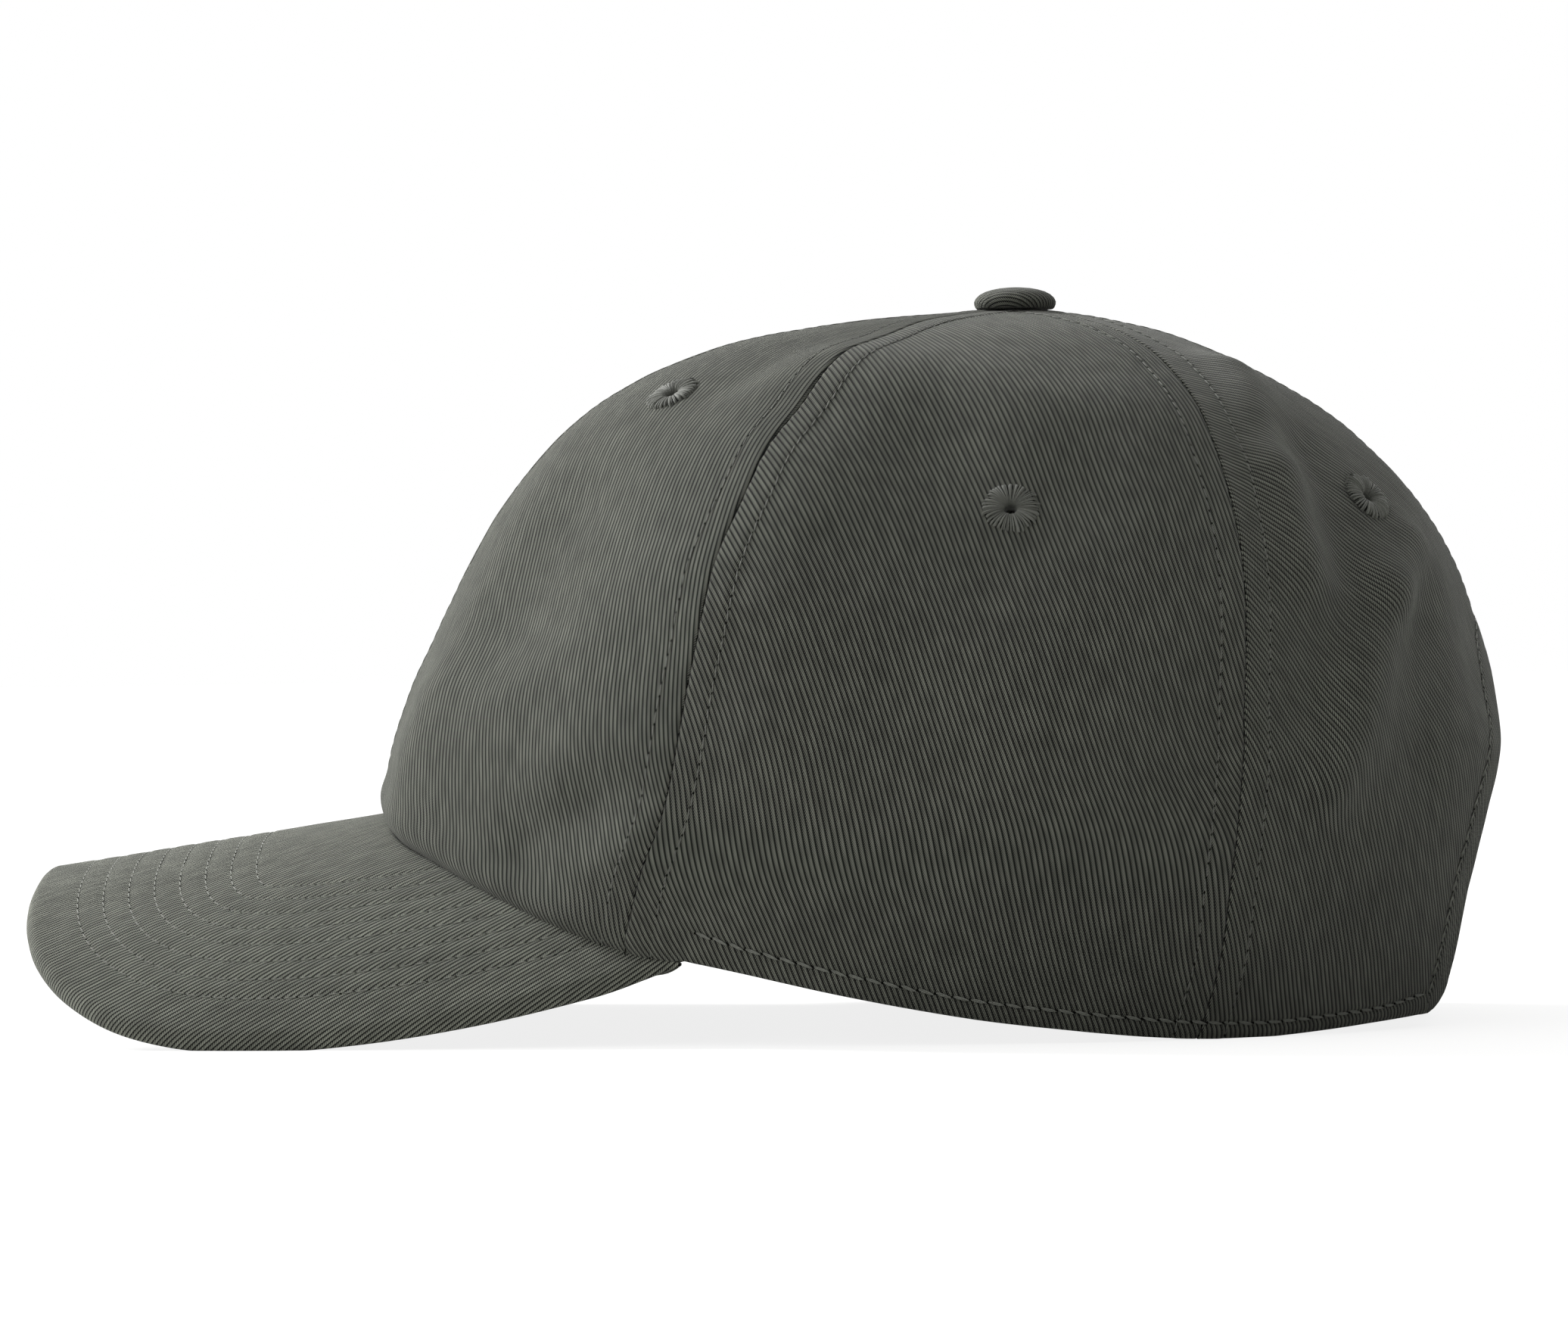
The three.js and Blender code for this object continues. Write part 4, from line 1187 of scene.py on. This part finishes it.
class CAP_OT_front_panels(bpy.types.Operator):
    """Sews the two front panels"""

    bl_idname = "cap.front_panels"
    bl_label = "Front panels"

    def execute(self, context):
        crown_panels("front")
        return {"FINISHED"}


class CAP_OT_side_panels(bpy.types.Operator):
    """Sews the two side panels"""

    bl_idname = "cap.side_panels"
    bl_label = "Side panels"

    def execute(self, context):
        crown_panels("side")
        return {"FINISHED"}


class CAP_OT_back_panels(bpy.types.Operator):
    """Sews the two back panels with the hemmed opening between them"""

    bl_idname = "cap.back_panels"
    bl_label = "Back panels"

    def execute(self, context):
        crown_panels("back")
        return {"FINISHED"}


class CAP_OT_seam_stitches(bpy.types.Operator):
    """Topstitches both sides of the crown's seams"""

    bl_idname = "cap.seam_stitches"
    bl_label = "Seam stitches"

    def execute(self, context):
        stitching = context.scene.cap_stitching
        pitch, thread = stitching.seam_pitch / MM, stitching.fine_thread / MM
        bm, shade_disc_mesh = bmesh.new(), bmesh.new()
        relief = SEAM["doubled"] - SEAM["pull"] - SEAM["even"] / 2
        for angles, levels in seam_rows():
            for sign in (1, -1):
                crown_row(bm, shade_disc_mesh, angles, levels, relief, pitch, thread, sign, yaw=SEAM_YAW)
        # Dark discs of painted shade in the seams' grooves, for the shadow of the closed folds
        seam_shade_discs = [SEAM_SHADE_DISCS[key] for key in ("pitch", "width", "length")]
        for seam, _, lowest, _, signs in SEAMS:
            levels = seam_levels(lowest)
            base, normals = crown_point(seam(levels), levels), crown_normal(seam(levels), levels)
            keep = over_edge(seam(levels), base)
            for sign in signs:
                mirrored, ups = base[keep] * (sign, 1, 1), normals[keep] * (sign, 1, 1)
                depth = wrinkles(mirrored) - SEAM["groove"] - SEAM["even"] / 2 + SEAM_SHADE_DISCS["rise"]
                painted_shade_disc_row(shade_disc_mesh, mirrored + ups * depth[:, None], ups, *seam_shade_discs)
        add_stitching("seam_stitches", bm, shade_disc_mesh, "spun_thread")
        return {"FINISHED"}


def visor_outline():
    """Close points of the visor's outline in plan, from the wearer's right corner round the tip to the left."""
    half = np.array(VISOR_OUTLINE)
    knots = np.vstack([half[:0:-1] * (-1, 1), half])
    ends = np.vstack([2 * knots[0] - knots[1], knots, 2 * knots[-1] - knots[-2]])
    # A centripetal curve through the knots, as the pattern's outline is drawn
    points = []
    for a, b, c, d in zip(ends, ends[1:], ends[2:], ends[3:]):
        t = np.cumsum([0.0] + [max(np.linalg.norm(q - p), 1e-4) ** 0.5 for p, q in ((a, b), (b, c), (c, d))])
        m = (c - b) / (t[2] - t[1])
        leave = ((b - a) / (t[1] - t[0]) - (c - a) / (t[2] - t[0]) + m) * (t[2] - t[1])
        arrive = (m - (d - b) / (t[3] - t[1]) + (d - c) / (t[3] - t[2])) * (t[2] - t[1])
        s = np.linspace(0, 1, 40, endpoint=False)[:, None]
        points.append(
            b
            + leave * s
            + (3 * (c - b) - 2 * leave - arrive) * s**2
            + (2 * (b - c) + leave + arrive) * s**3
        )
    return np.vstack([*points, knots[-1:]])


def visor_flat(x, y):
    """A place of the arched visor laid flat."""
    radius = VISOR["arch_radius"]
    return np.stack([radius * np.arcsin(x / radius), -y], -1)


def spaced(points, count):
    """Points of a path at even distances, and its length."""
    steps = along_path(points)
    at = np.linspace(0, steps[-1], count + 1)
    return np.stack([np.interp(at, steps, points[:, k]) for k in range(points.shape[1])], -1), steps[-1]


def visor_seam(angles, depth):
    """Where the visor meets the crown, a depth inside the crown's outer face."""
    size = np.abs(angles)

    def past(level):
        point = crown_point(size, level, -depth)
        return point[..., 2] > visor_top(point[..., 0], point[..., 1])

    level = bisect(0 * size, 0 * size + EDGE_LIMIT, past)
    points = crown_point(size, level, -depth)
    points[:, 0] *= np.sign(angles) + (angles == 0)
    return points


def visor_row_depths(stitching):
    """Distances of the visor's stitch rows from its edge, on the flat cloth."""
    return (stitching.visor_first + stitching.visor_spacing * np.arange(stitching.visor_rows)) / MM


def visor_surface(stitching):
    """The whole skin of the visor: rows run over the top from the seam to the edge and back below."""
    columns, top_rows, edge_rows = (VISOR_MESH[k] for k in ("columns", "top_rows", "edge_rows"))
    edge, length = spaced(visor_outline(), columns)
    along = np.linspace(0, 1, columns + 1)
    angles = VISOR_CORNER["angle"] * (2 * along - 1)
    inner = visor_seam(angles, bpy.context.scene.cap_cloth.wall / MM)[:, :2]
    from_corner = np.minimum(along, 1 - along) * length
    full = 1 - (1 - np.clip(from_corner / VISOR_CORNER["taper"], 0, 1)) ** 3
    thickness = VISOR_CORNER["thickness"] + (VISOR["thickness"] - VISOR_CORNER["thickness"]) * full
    tangent = unit(np.gradient(edge, axis=0))
    outward = np.stack([tangent[:, 1], -tangent[:, 0]], -1)
    share = np.linspace(0, 1, top_rows + 1)[:, None, None]
    plan = inner + (edge - inner) * share
    flat_edge = visor_flat(*visor_outline().T)
    flat = visor_flat(plan[..., 0], plan[..., 1])
    depth = distance_to(flat, flat_edge)
    to_row = np.abs(depth[..., None] - visor_row_depths(stitching)).min(axis=-1)
    pull = VISOR_ROW["pull"] * dent(to_row, VISOR_ROW["pull_width"])
    height = visor_top(plan[..., 0], plan[..., 1])
    uneven = VISOR_UNEVEN * wrinkles(np.concatenate([plan, height[..., None]], -1))
    top = np.concatenate([plan, (height - pull + uneven)[..., None]], -1)
    bottom = np.concatenate([plan, (height - thickness + pull + uneven)[..., None]], -1)
    turn = np.linspace(0, math.pi, edge_rows + 1)[1:-1, None]
    reach = VISOR_ROUNDING * np.sin(turn) * thickness / 2 * ramp(from_corner, 0, VISOR_CORNER["flush"])
    slope = visor_top(*(edge + outward).T) - visor_top(*edge.T)
    rim = edge + outward * reach[..., None] / np.sqrt(1 + slope**2)[:, None]
    rim_height = visor_top(*edge.T) - (1 - np.cos(turn)) * thickness / 2 + slope * reach / np.sqrt(1 + slope**2)
    rounded = np.concatenate([rim, rim_height[..., None]], -1)
    places = np.concatenate([top, rounded, bottom[::-1], top[:1]])
    # The cloth is pressed flat where it rests on the floor
    places[..., 2] = np.maximum(places[..., 2], 0)
    path = np.linalg.norm(np.diff(places[top_rows:-1], axis=0), axis=-1)
    beyond = np.cumsum(path, axis=0)[..., None]
    flat_out = unit(visor_flat(*(edge + outward).T) - visor_flat(*edge.T))
    cloth = np.concatenate([flat, flat[-1] + flat_out * beyond, flat[:1]])
    return places, cloth


class CAP_OT_visor(bpy.types.Operator):
    """Covers the visor's board with cloth, above, round the edge and below"""

    bl_idname = "cap.visor"
    bl_label = "Visor"

    def execute(self, context):
        places, cloth = visor_surface(context.scene.cap_stitching)
        bm, _ = grid_mesh(places, cut(cloth, "visor"))
        close_skin(bm, 2 * WELD)
        # A paler copy of the twill: painted light on the visor
        faded = washed_cotton_twill("faded_cotton_twill", VISOR_PAINTED_LIGHT)
        add_piece("visor_cover", bm, faded, "twill", "visor")
        return {"FINISHED"}


def visor_row(depth):
    """One stitch row of the visor: the outline moved inwards on the flat cloth, up to the crown."""
    outline = spaced(visor_flat(*visor_outline().T), VISOR_ROW_POINTS["outline"])[0]
    tangent = unit(np.gradient(outline, axis=0))
    moved = outline + np.stack([tangent[:, 1], -tangent[:, 0]], -1) * depth
    away = distance_to(moved[None], outline)[0]
    kept = spaced(moved[away > depth - VISOR_ROW["slack"]], VISOR_ROW_POINTS["row"])[0]
    # Evens out the corner, as a sewing machine turns it
    kept = evened(kept, VISOR_ROW_POINTS["evened"], "reflect", reflect_type="odd")
    radius = VISOR["arch_radius"]
    x, y = radius * np.sin(kept[:, 0] / radius), -kept[:, 1]
    seam = visor_seam(np.linspace(0, VISOR_CORNER["angle"], 200), 0)
    # Past the seam's corner no row goes on
    limit = np.interp(np.abs(x), seam[:, 0], seam[:, 1], right=-200)
    inside = y < limit - VISOR_ROW["clear_of_seam"]
    return x[inside], y[inside]


class CAP_OT_visor_stitches(bpy.types.Operator):
    """Quilts the visor with rows of stitches that follow its edge, seen from above and from below"""

    bl_idname = "cap.visor_stitches"
    bl_label = "Visor stitches"

    def execute(self, context):
        stitching = context.scene.cap_stitching
        pitch, thread = stitching.visor_pitch / MM, stitching.fine_thread / MM
        radius = VISOR["arch_radius"]
        for side, facing in (("top", 1), ("under", -1)):
            bm, shade_disc_mesh = bmesh.new(), bmesh.new()
            for depth in visor_row_depths(stitching):
                x, y = visor_row(depth)
                normals = unit(np.stack([x / radius, 0 * x - VISOR["slope"], np.sqrt(1 - (x / radius) ** 2)], -1))
                path = np.stack([x, y, visor_top(x, y)], -1)
                drop = VISOR["thickness"] / 2 * (1 - facing)
                path[:, 2] += VISOR_UNEVEN * wrinkles(path)
                path[:, 2] -= drop + facing * (VISOR_ROW["pull"] - thread * VISOR_ROW["lift"])
                stitch_row(bm, shade_disc_mesh, path, normals * facing, pitch, thread, yaw=VISOR_YAW)
            add_stitching(f"visor_stitches_{side}", bm, shade_disc_mesh, "visor_thread")
        return {"FINISHED"}


class CAP_OT_rim_stitches(bpy.types.Operator):
    """Stitches the rim through the band, and the hem of the back opening"""

    bl_idname = "cap.rim_stitches"
    bl_label = "Rim stitches"

    def execute(self, context):
        stitching = context.scene.cap_stitching
        pitch, thread = stitching.rim_pitch / MM, stitching.bold_thread / MM
        bm, shade_disc_mesh = bmesh.new(), bmesh.new()
        angles = np.linspace(*RIM_ROW_ENDS, 400)
        levels = level_at(smooth_curve(RIM, angles) + np.interp(angles, *zip(*RIM_ROW)))
        at_rim, at_hem = EDGE["doubled"] - EDGE["pull"], HEM["doubled"] - HEM["pull"]
        hem = self.hem_row()
        for sign in (1, -1):
            crown_row(bm, shade_disc_mesh, angles, levels, at_rim, pitch, thread, sign, **BOLD_STITCH)
            crown_row(bm, shade_disc_mesh, *hem, at_hem, pitch, thread * HEM["thread"], sign, **BOLD_STITCH)
        add_stitching("rim_stitches", bm, shade_disc_mesh, "bold_thread")
        return {"FINISHED"}

    def hem_row(self):
        """The strip's outer line moved into the panel by its width, as angles and levels."""
        line = hem_line()
        levels = level_at(np.clip(line[:, 2], *HEM_HEIGHTS))
        normals = crown_normal(arch_angle(levels), levels)
        moved = line + unit(np.cross(normals, unit(np.gradient(line, axis=0)))) * HEM["width"]
        level = level_at(np.clip(moved[:, 2], *HEM_HEIGHTS))
        s = section_at(level)
        behind = (moved[:, 1] - s["widest"]) / (s["back"] - s["widest"])
        angle = np.degrees(np.arctan2(moved[:, 0] / s["half"], -behind))
        # The row stops at the middle of the back and over the rim's own row
        keep = (moved[:, 0] > 0.2) & (moved[:, 2] > HEM_ROW_FOOT)
        return angle[keep], level[keep]


def strand_mesh(bm):
    """One strand of an eyelet: a half-round thread over the ring, squeezed narrower towards the hole."""
    along, around = 14, 4
    r, h = spaced(np.array(STRAND_PATH), along)[0].T
    tangent = unit(np.stack([np.gradient(r), np.gradient(h)], -1))
    for vert in bmesh.ops.create_grid(bm, x_segments=along, y_segments=around, size=1)["verts"]:
        i = round((vert.co.x + 1) / 2 * along)
        j = round((vert.co.y + 1) / 2 * around)
        # Its sides reach 20 degrees round its underside
        turn = math.radians(-20 + 220 * j / around)
        width = min(EYELET["thread"] / 2, EYELET["packed"] * math.pi * r[i] / EYELET["strands"])
        lift = EYELET["bulge"] * width * math.sin(turn)
        radius, height = r[i] + tangent[i][1] * lift, h[i] - tangent[i][0] * lift
        vert.co = Vector((radius * MM, width * math.cos(turn) * MM, height * MM))


class CAP_OT_eyelets(bpy.types.Operator):
    """Works the six eyelets in thread, each round a hole through the cloth"""

    bl_idname = "cap.eyelets"
    bl_label = "Eyelets"

    def execute(self, context):
        for kind, (angle, z) in EYELETS.items():
            angle, level = np.float64(angle), level_at(z)
            place = crown_point(angle, level)
            around = crown_point(angle + 2, level) - crown_point(angle - 2, level)
            up = crown_point(angle, level + 0.15) - crown_point(angle, level - 0.15)
            for side, sign in SIDES:
                mirror = np.array([sign, 1, 1])
                out = Vector(unit(np.cross(around, up)) * mirror)
                across = Vector(unit(around) * mirror)
                turn = Matrix((across, out.cross(across).normalized(), out)).transposed().to_4x4()
                bm = self.ring(sum(ord(c) for c in kind) + sign)
                bm.transform(Matrix.Translation(placed(place * mirror)) @ turn)
                name = f"eyelet_{kind}_{side}"
                add_piece(f"{name}_thread", bm, spun_thread("eyelet_thread"), "thread", name)
        return {"FINISHED"}

    def ring(self, seed):
        """A ring of strands round a hole, standing on the middle of the scene."""
        bm = bmesh.new()
        strand_mesh(bm)
        more = EYELET["strands"] - 1
        bmesh.ops.spin(
            bm,
            geom=bm.verts[:] + bm.edges[:] + bm.faces[:],
            cent=(0, 0, 0),
            axis=(0, 0, 1),
            angle=2 * math.pi * more / EYELET["strands"],
            steps=more,
            use_duplicate=True,
        )
        (radius, height), *rest = EYELET_LINING
        inner = bmesh.ops.create_circle(bm, segments=32, radius=radius * MM)["verts"]
        bmesh.ops.translate(bm, verts=inner, vec=(0, 0, height * MM))
        edges = [edge for edge in bm.edges if edge.verts[0] in inner and edge.verts[1] in inner]
        for radius, height in rest:
            made = bmesh.ops.extrude_edge_only(bm, edges=edges)["geom"]
            edges = [item for item in made if isinstance(item, bmesh.types.BMEdge)]
            for vert in {vert for edge in edges for vert in edge.verts}:
                vert.co = Vector((vert.co.x, vert.co.y, 0)).normalized() * radius * MM
                vert.co.z = height * MM
        for vert in bm.verts:
            if vert.co.z < EYELET_EVEN * MM:
                continue
            radius = math.hypot(vert.co.x, vert.co.y) / MM
            way = Vector((vert.co.x, vert.co.y, 0)).normalized()
            ragged, bunched, raised = (
                noise.noise(way * often + Vector((0, 0, seed + own))) for often, own in EYELET_NOISE
            )
            vert.co += way * ragged * EYELET["ragged"] * float(ramp(radius, *EYELET_SETS_IN["ragged"])) * MM
            swing = bunched * EYELET["swing"] * float(ramp(radius, *EYELET_SETS_IN["swing"]))
            vert.co = Matrix.Rotation(swing, 3, "Z") @ vert.co
            vert.co.z += (EYELET_RISE["raised"] * raised + EYELET_RISE["bunched"] * bunched) * MM
        bmesh.ops.recalc_face_normals(bm, faces=bm.faces)
        return bm


class CAP_OT_button(bpy.types.Operator):
    """Covers the top button with cloth"""

    bl_idname = "cap.button"
    bl_label = "Top button"

    def execute(self, context):
        rise = BUTTON["top"] - BUTTON["foot"]
        profile = [(BUTTON["radius"] * out, BUTTON["top"] - rise * down) for out, down in BUTTON_DOME]
        profile += [
            (BUTTON["shank"], BUTTON["foot"]),
            (BUTTON["shank"], BUTTON_DISC["top"]),
            (BUTTON_DISC["radius"], BUTTON_DISC["top"]),
            (BUTTON_DISC["radius"], BUTTON_DISC["foot"]),
            (0, BUTTON_DISC["foot"]),
        ]
        bm = bmesh.new()
        points = [bm.verts.new(placed((r, APEX_Y, z))) for r, z in profile]
        edges = [bm.edges.new(pair) for pair in zip(points, points[1:])]
        centre = placed((0, APEX_Y, 0))
        whole = {"axis": (0, 0, 1), "angle": 2 * math.pi, "steps": 96, "use_merge": True}
        bmesh.ops.spin(bm, geom=points + edges, cent=centre, **whole)
        bmesh.ops.remove_doubles(bm, verts=bm.verts, dist=WELD)
        bmesh.ops.recalc_face_normals(bm, faces=bm.faces)
        layer = bm.loops.layers.uv.new("cloth")
        profile = np.array(profile)
        lengths = along_path(profile)
        turned = Matrix.Rotation(-math.radians(CUT["button"]), 2)
        for face in bm.faces:
            for loop in face.loops:
                away = loop.vert.co - centre
                radius = math.hypot(away.x, away.y) / MM
                k = np.abs(profile - (radius, away.z / MM)).sum(axis=1).argmin()
                way = Vector((away.x, away.y)).normalized() if radius > 0.01 else Vector((0, 0))
                loop[layer].uv = turned @ way * lengths[k]
        for vert in bm.verts:
            away = vert.co - centre
            if BUTTON["foot"] * MM - 0.01 * MM <= away.z <= BUTTON["even_over"] * MM:
                way = Vector((away.x, away.y, 0)).normalized()
                vert.co += way * BUTTON["uneven"] * noise.noise(way * 6) * MM
        add_piece("top_button_cover", bm, washed_cotton_twill(), "twill", "top_button")
        return {"FINISHED"}


class CAP_OT_sweatband(bpy.types.Operator):
    """Lines the rim with the band"""

    bl_idname = "cap.sweatband"
    bl_label = "Sweatband"

    def execute(self, context):
        columns, rows = BAND_MESH["columns"], BAND_MESH["rows"]
        wall = context.scene.cap_cloth.wall / MM
        signed = np.linspace(-BAND["end_angle"], BAND["end_angle"], columns + 1)
        angles = np.abs(signed)
        depth = wall + BAND["gap"]
        sunk = BAND_SINK["depth"] * (1 - ramp(angles, BAND_SINK["from_angle"], BAND_SINK["to_angle"]))

        def past(level):
            point = crown_point(angles, level, -depth)
            return point[..., 2] > edge_height(angles, point) + BAND["lift"] - sunk

        foot = section_at(bisect(0 * angles, 0 * angles + EDGE_LIMIT, past))["z"]
        heights = foot + np.linspace(0, 1, rows + 1)[:, None] * BAND["height"]
        levels = level_at(heights)
        grid_angles = np.broadcast_to(angles, levels.shape)
        clear = BAND["clear_of_folds"] * np.abs(fold_height(crown_base(grid_angles, levels)))
        places = crown_point(grid_angles, levels, -depth - clear)
        places[..., 0] *= np.where(signed < 0, -1, 1)
        cloth = np.stack(np.broadcast_arrays(along_path(places[0]), heights), -1)
        bm, _ = grid_mesh(places, cloth)
        piece = add_piece("sweatband_cloth", bm, plain_woven_cotton(), "band", "sweatband")
        add_wall(piece, BAND["wall"])
        bevel = piece.modifiers.new("soft edge", "BEVEL")
        bevel.width = BAND["bevel"] * MM
        bevel.segments = 2
        bevel.limit_method = "ANGLE"
        return {"FINISHED"}


def strap_places(x, z, depth):
    """Places across the strap at heights z, a depth under its outer face. It follows the inside of the panels, runs
    straight across the opening and goes over the middle bar of the buckle."""
    levels = level_at(z) + 0 * x
    angle = 180 - np.degrees(np.arcsin(np.abs(x) / section_at(levels)["half"]))
    wall = bpy.context.scene.cap_cloth.wall / MM
    on_panel = crown_point(angle, levels, -(wall + STRAP["behind_panel"]) - depth)
    flat_y, blend = STRAP["flat_y"] - depth, STRAP["blend"]
    y = -blend * np.log(np.exp(-on_panel[..., 1] / blend) + np.exp(-flat_y / blend))
    over_bar = BUCKLE["depth"] + 2 * GAP + STRAP["wall"]
    slot = BUCKLE["centre_bar"] / 2 + 2 * GAP, BUCKLE["half_length"] - BUCKLE["bar"] - GAP
    y = y + over_bar * (1 - ramp(np.abs(x), *slot))
    return np.stack([on_panel[..., 0] * np.sign(x), y, z + 0 * y], -1)


class CAP_OT_strap(bpy.types.Operator):
    """Sews the strap across the back opening and sets its buckle"""

    bl_idname = "cap.strap"
    bl_label = "Back strap and buckle"

    def execute(self, context):
        x = np.linspace(STRAP["end_x"], -STRAP["end_x"], STRAP_MESH["columns"] + 1)
        low, high, thick = STRAP["low"], STRAP["high"], STRAP["wall"]
        up = np.linspace(low, high, STRAP_MESH["face_rows"] + 1)
        # Once round the strap: its outer face, its upper edge, its inner face and its lower edge
        turn = np.linspace(0, math.pi, STRAP_MESH["edge_rows"] + 1)[1:-1]
        edge = thick * (1 - np.cos(turn)) / 2
        z = np.r_[up, 0 * turn + high, up[::-1], 0 * turn + low, up[:1]]
        depth = np.r_[0 * up, edge, 0 * up + thick, edge[::-1], 0.0]
        rounding = np.r_[0 * up, np.sin(turn), 0 * up, -np.sin(turn), 0.0] * thick / 2
        z = np.clip(z, low + thick / 2, high - thick / 2) + rounding
        places = strap_places(x, z[:, None], depth[:, None])
        cloth = np.stack(np.broadcast_arrays(-x[None], along_path(places[:, 0])[:, None]), -1)
        bm, _ = grid_mesh(places, cut(cloth, "strap"))
        close_skin(bm, WELD)
        add_piece("back_strap_cloth", bm, washed_cotton_twill(), "twill", "back_strap")
        self.stitches(context.scene.cap_stitching, x[np.abs(x) < STRAP_ROW["reach"]])
        self.buckle()
        return {"FINISHED"}

    def stitches(self, stitching, x):
        """A row of stitches along both edges of the strap."""
        pitch, thread = stitching.visor_pitch / MM, stitching.fine_thread / MM
        bm, shade_disc_mesh = bmesh.new(), bmesh.new()
        normals = np.tile([0.0, 1.0, 0.0], (len(x), 1))
        for z in (STRAP["low"] + STRAP_ROW["from_edge"], STRAP["high"] - STRAP_ROW["from_edge"]):
            path = strap_places(x, z, 0.0) + normals * thread * STRAP_ROW["lift"]
            stitch_row(bm, shade_disc_mesh, path, normals, pitch, thread)
        add_stitching("strap_stitches", bm, shade_disc_mesh, "spun_thread")

    def buckle(self):
        """The buckle's CAD shape with its edges rounded, as a stamped and tumbled frame has them."""
        nearly_flat, sharp = math.radians(2), math.radians(50)
        bm = bmesh.new()
        bm.from_mesh(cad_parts["strap_buckle"].data)
        bmesh.ops.remove_doubles(bm, verts=bm.verts, dist=WELD)
        bmesh.ops.dissolve_limit(
            bm, angle_limit=nearly_flat, verts=bm.verts, edges=bm.edges, use_dissolve_boundaries=False
        )
        bmesh.ops.bevel(
            bm,
            geom=[edge for edge in bm.edges if edge.calc_face_angle(0) > sharp],
            offset=BUCKLE["bevel"] * MM,
            offset_type="OFFSET",
            affect="EDGES",
            segments=3,
            profile=0.5,
            material=-1,
            clamp_overlap=True,
        )
        add_piece("strap_buckle_brass", bm, antique_brass(), "buckle", "strap_buckle")


class CAP_OT_stage(bpy.types.Operator):
    """Sets the floor, the lights and the camera"""

    bl_idname = "cap.stage"
    bl_label = "Stage"

    def execute(self, context):
        stage = context.scene.cap_stage
        self.floor(stage)
        self.lights(context, stage)
        self.camera(context)
        context.scene.view_settings.view_transform = "Standard"
        return {"FINISHED"}

    def floor(self, stage):
        bm = bmesh.new()
        bmesh.ops.create_grid(bm, x_segments=1, y_segments=1, size=FLOOR_REACH)
        mesh = bpy.data.meshes.new("studio_floor")
        bm.to_mesh(mesh)
        bm.free()
        add_object("studio_floor", mesh)
        material, tree = new_material("matte_white_paper")
        paper = add_node(tree, "BsdfDiffuse", [(*stage.floor_colour, 1)])
        # For the camera alone the paper is lit up, so that it melts into the white behind it
        glow = add_node(tree, "Emission", [WHITE, GLOW["strength"]])
        seen = add_node(tree, "LightPath").outputs["Is Camera Ray"]
        share = add_node(tree, "Math", [seen, GLOW["share"]], operation="MULTIPLY")
        mixed = add_node(tree, "MixShader", [share, paper, glow])
        add_node(tree, "OutputMaterial", [mixed])
        mesh.materials.append(material)

    def lights(self, context, stage):
        for name, (spread, towards) in LIGHTS.items():
            light = bpy.data.lights.new(name, "SUN")
            light.energy = getattr(stage, name)
            light.angle = math.radians(spread)
            add_object(name, light).rotation_euler = Vector(towards).to_track_quat("-Z", "Y").to_euler()
        world = bpy.data.worlds.new("studio")
        world.use_nodes = True
        context.scene.world = world
        tree = world.node_tree
        tree.nodes.clear()
        seen = add_node(tree, "LightPath").outputs["Is Camera Ray"]
        strength = add_node(tree, "MapRange", {0: seen, 3: stage.fill, 4: 1.0})
        sky = add_node(tree, "Background", [WHITE, strength])
        add_node(tree, "OutputWorld", [sky])

    def camera(self, context):
        data = bpy.data.cameras.new("camera")
        data.sensor_width = CAMERA["sensor"]
        data.lens = CAMERA["sensor"] * CAMERA["distance"] / CAMERA["frame_width"]
        tilt = CAMERA["tilt"]
        right, up = Vector((0, 1, -tilt)).normalized(), Vector((0, tilt, 1)).normalized()
        turn = Matrix((right, up, right.cross(up))).transposed().to_4x4()
        place = placed((CAMERA["distance"], CAMERA["y"], CAMERA["z"]))
        context.scene.camera = add_object("camera", data)
        context.scene.camera.matrix_world = Matrix.Translation(place) @ turn


OPERATORS = (
    CAP_OT_front_panels,
    CAP_OT_side_panels,
    CAP_OT_back_panels,
    CAP_OT_seam_stitches,
    CAP_OT_visor,
    CAP_OT_visor_stitches,
    CAP_OT_rim_stitches,
    CAP_OT_eyelets,
    CAP_OT_button,
    CAP_OT_sweatband,
    CAP_OT_strap,
    CAP_OT_stage,
)
SETTINGS = {"cap_cloth": CapCloth, "cap_stitching": CapStitching, "cap_stage": CapStage}


class CAP_PT_sidebar(bpy.types.Panel):
    bl_idname = "CAP_PT_sidebar"
    bl_label = "Soft Six-Panel Cap"
    bl_space_type = "VIEW_3D"
    bl_region_type = "UI"
    bl_category = "Cap"

    def draw(self, context):
        for name, group in SETTINGS.items():
            box = self.layout.box()
            for key in group.__annotations__:
                box.prop(getattr(context.scene, name), key)
        for operator in OPERATORS:
            self.layout.operator(operator.bl_idname)


def register():
    for cls in (*SETTINGS.values(), *OPERATORS, CAP_PT_sidebar):
        bpy.utils.register_class(cls)
    for name, group in SETTINGS.items():
        setattr(bpy.types.Scene, name, PointerProperty(type=group))


def unregister():
    for name in SETTINGS:
        delattr(bpy.types.Scene, name)
    for cls in (CAP_PT_sidebar, *reversed(OPERATORS), *SETTINGS.values()):
        bpy.utils.unregister_class(cls)


def main():
    register()
    for operator in OPERATORS:
        family, name = operator.bl_idname.split(".")
        getattr(getattr(bpy.ops, family), name)()


if __name__ == "__main__":
    main()
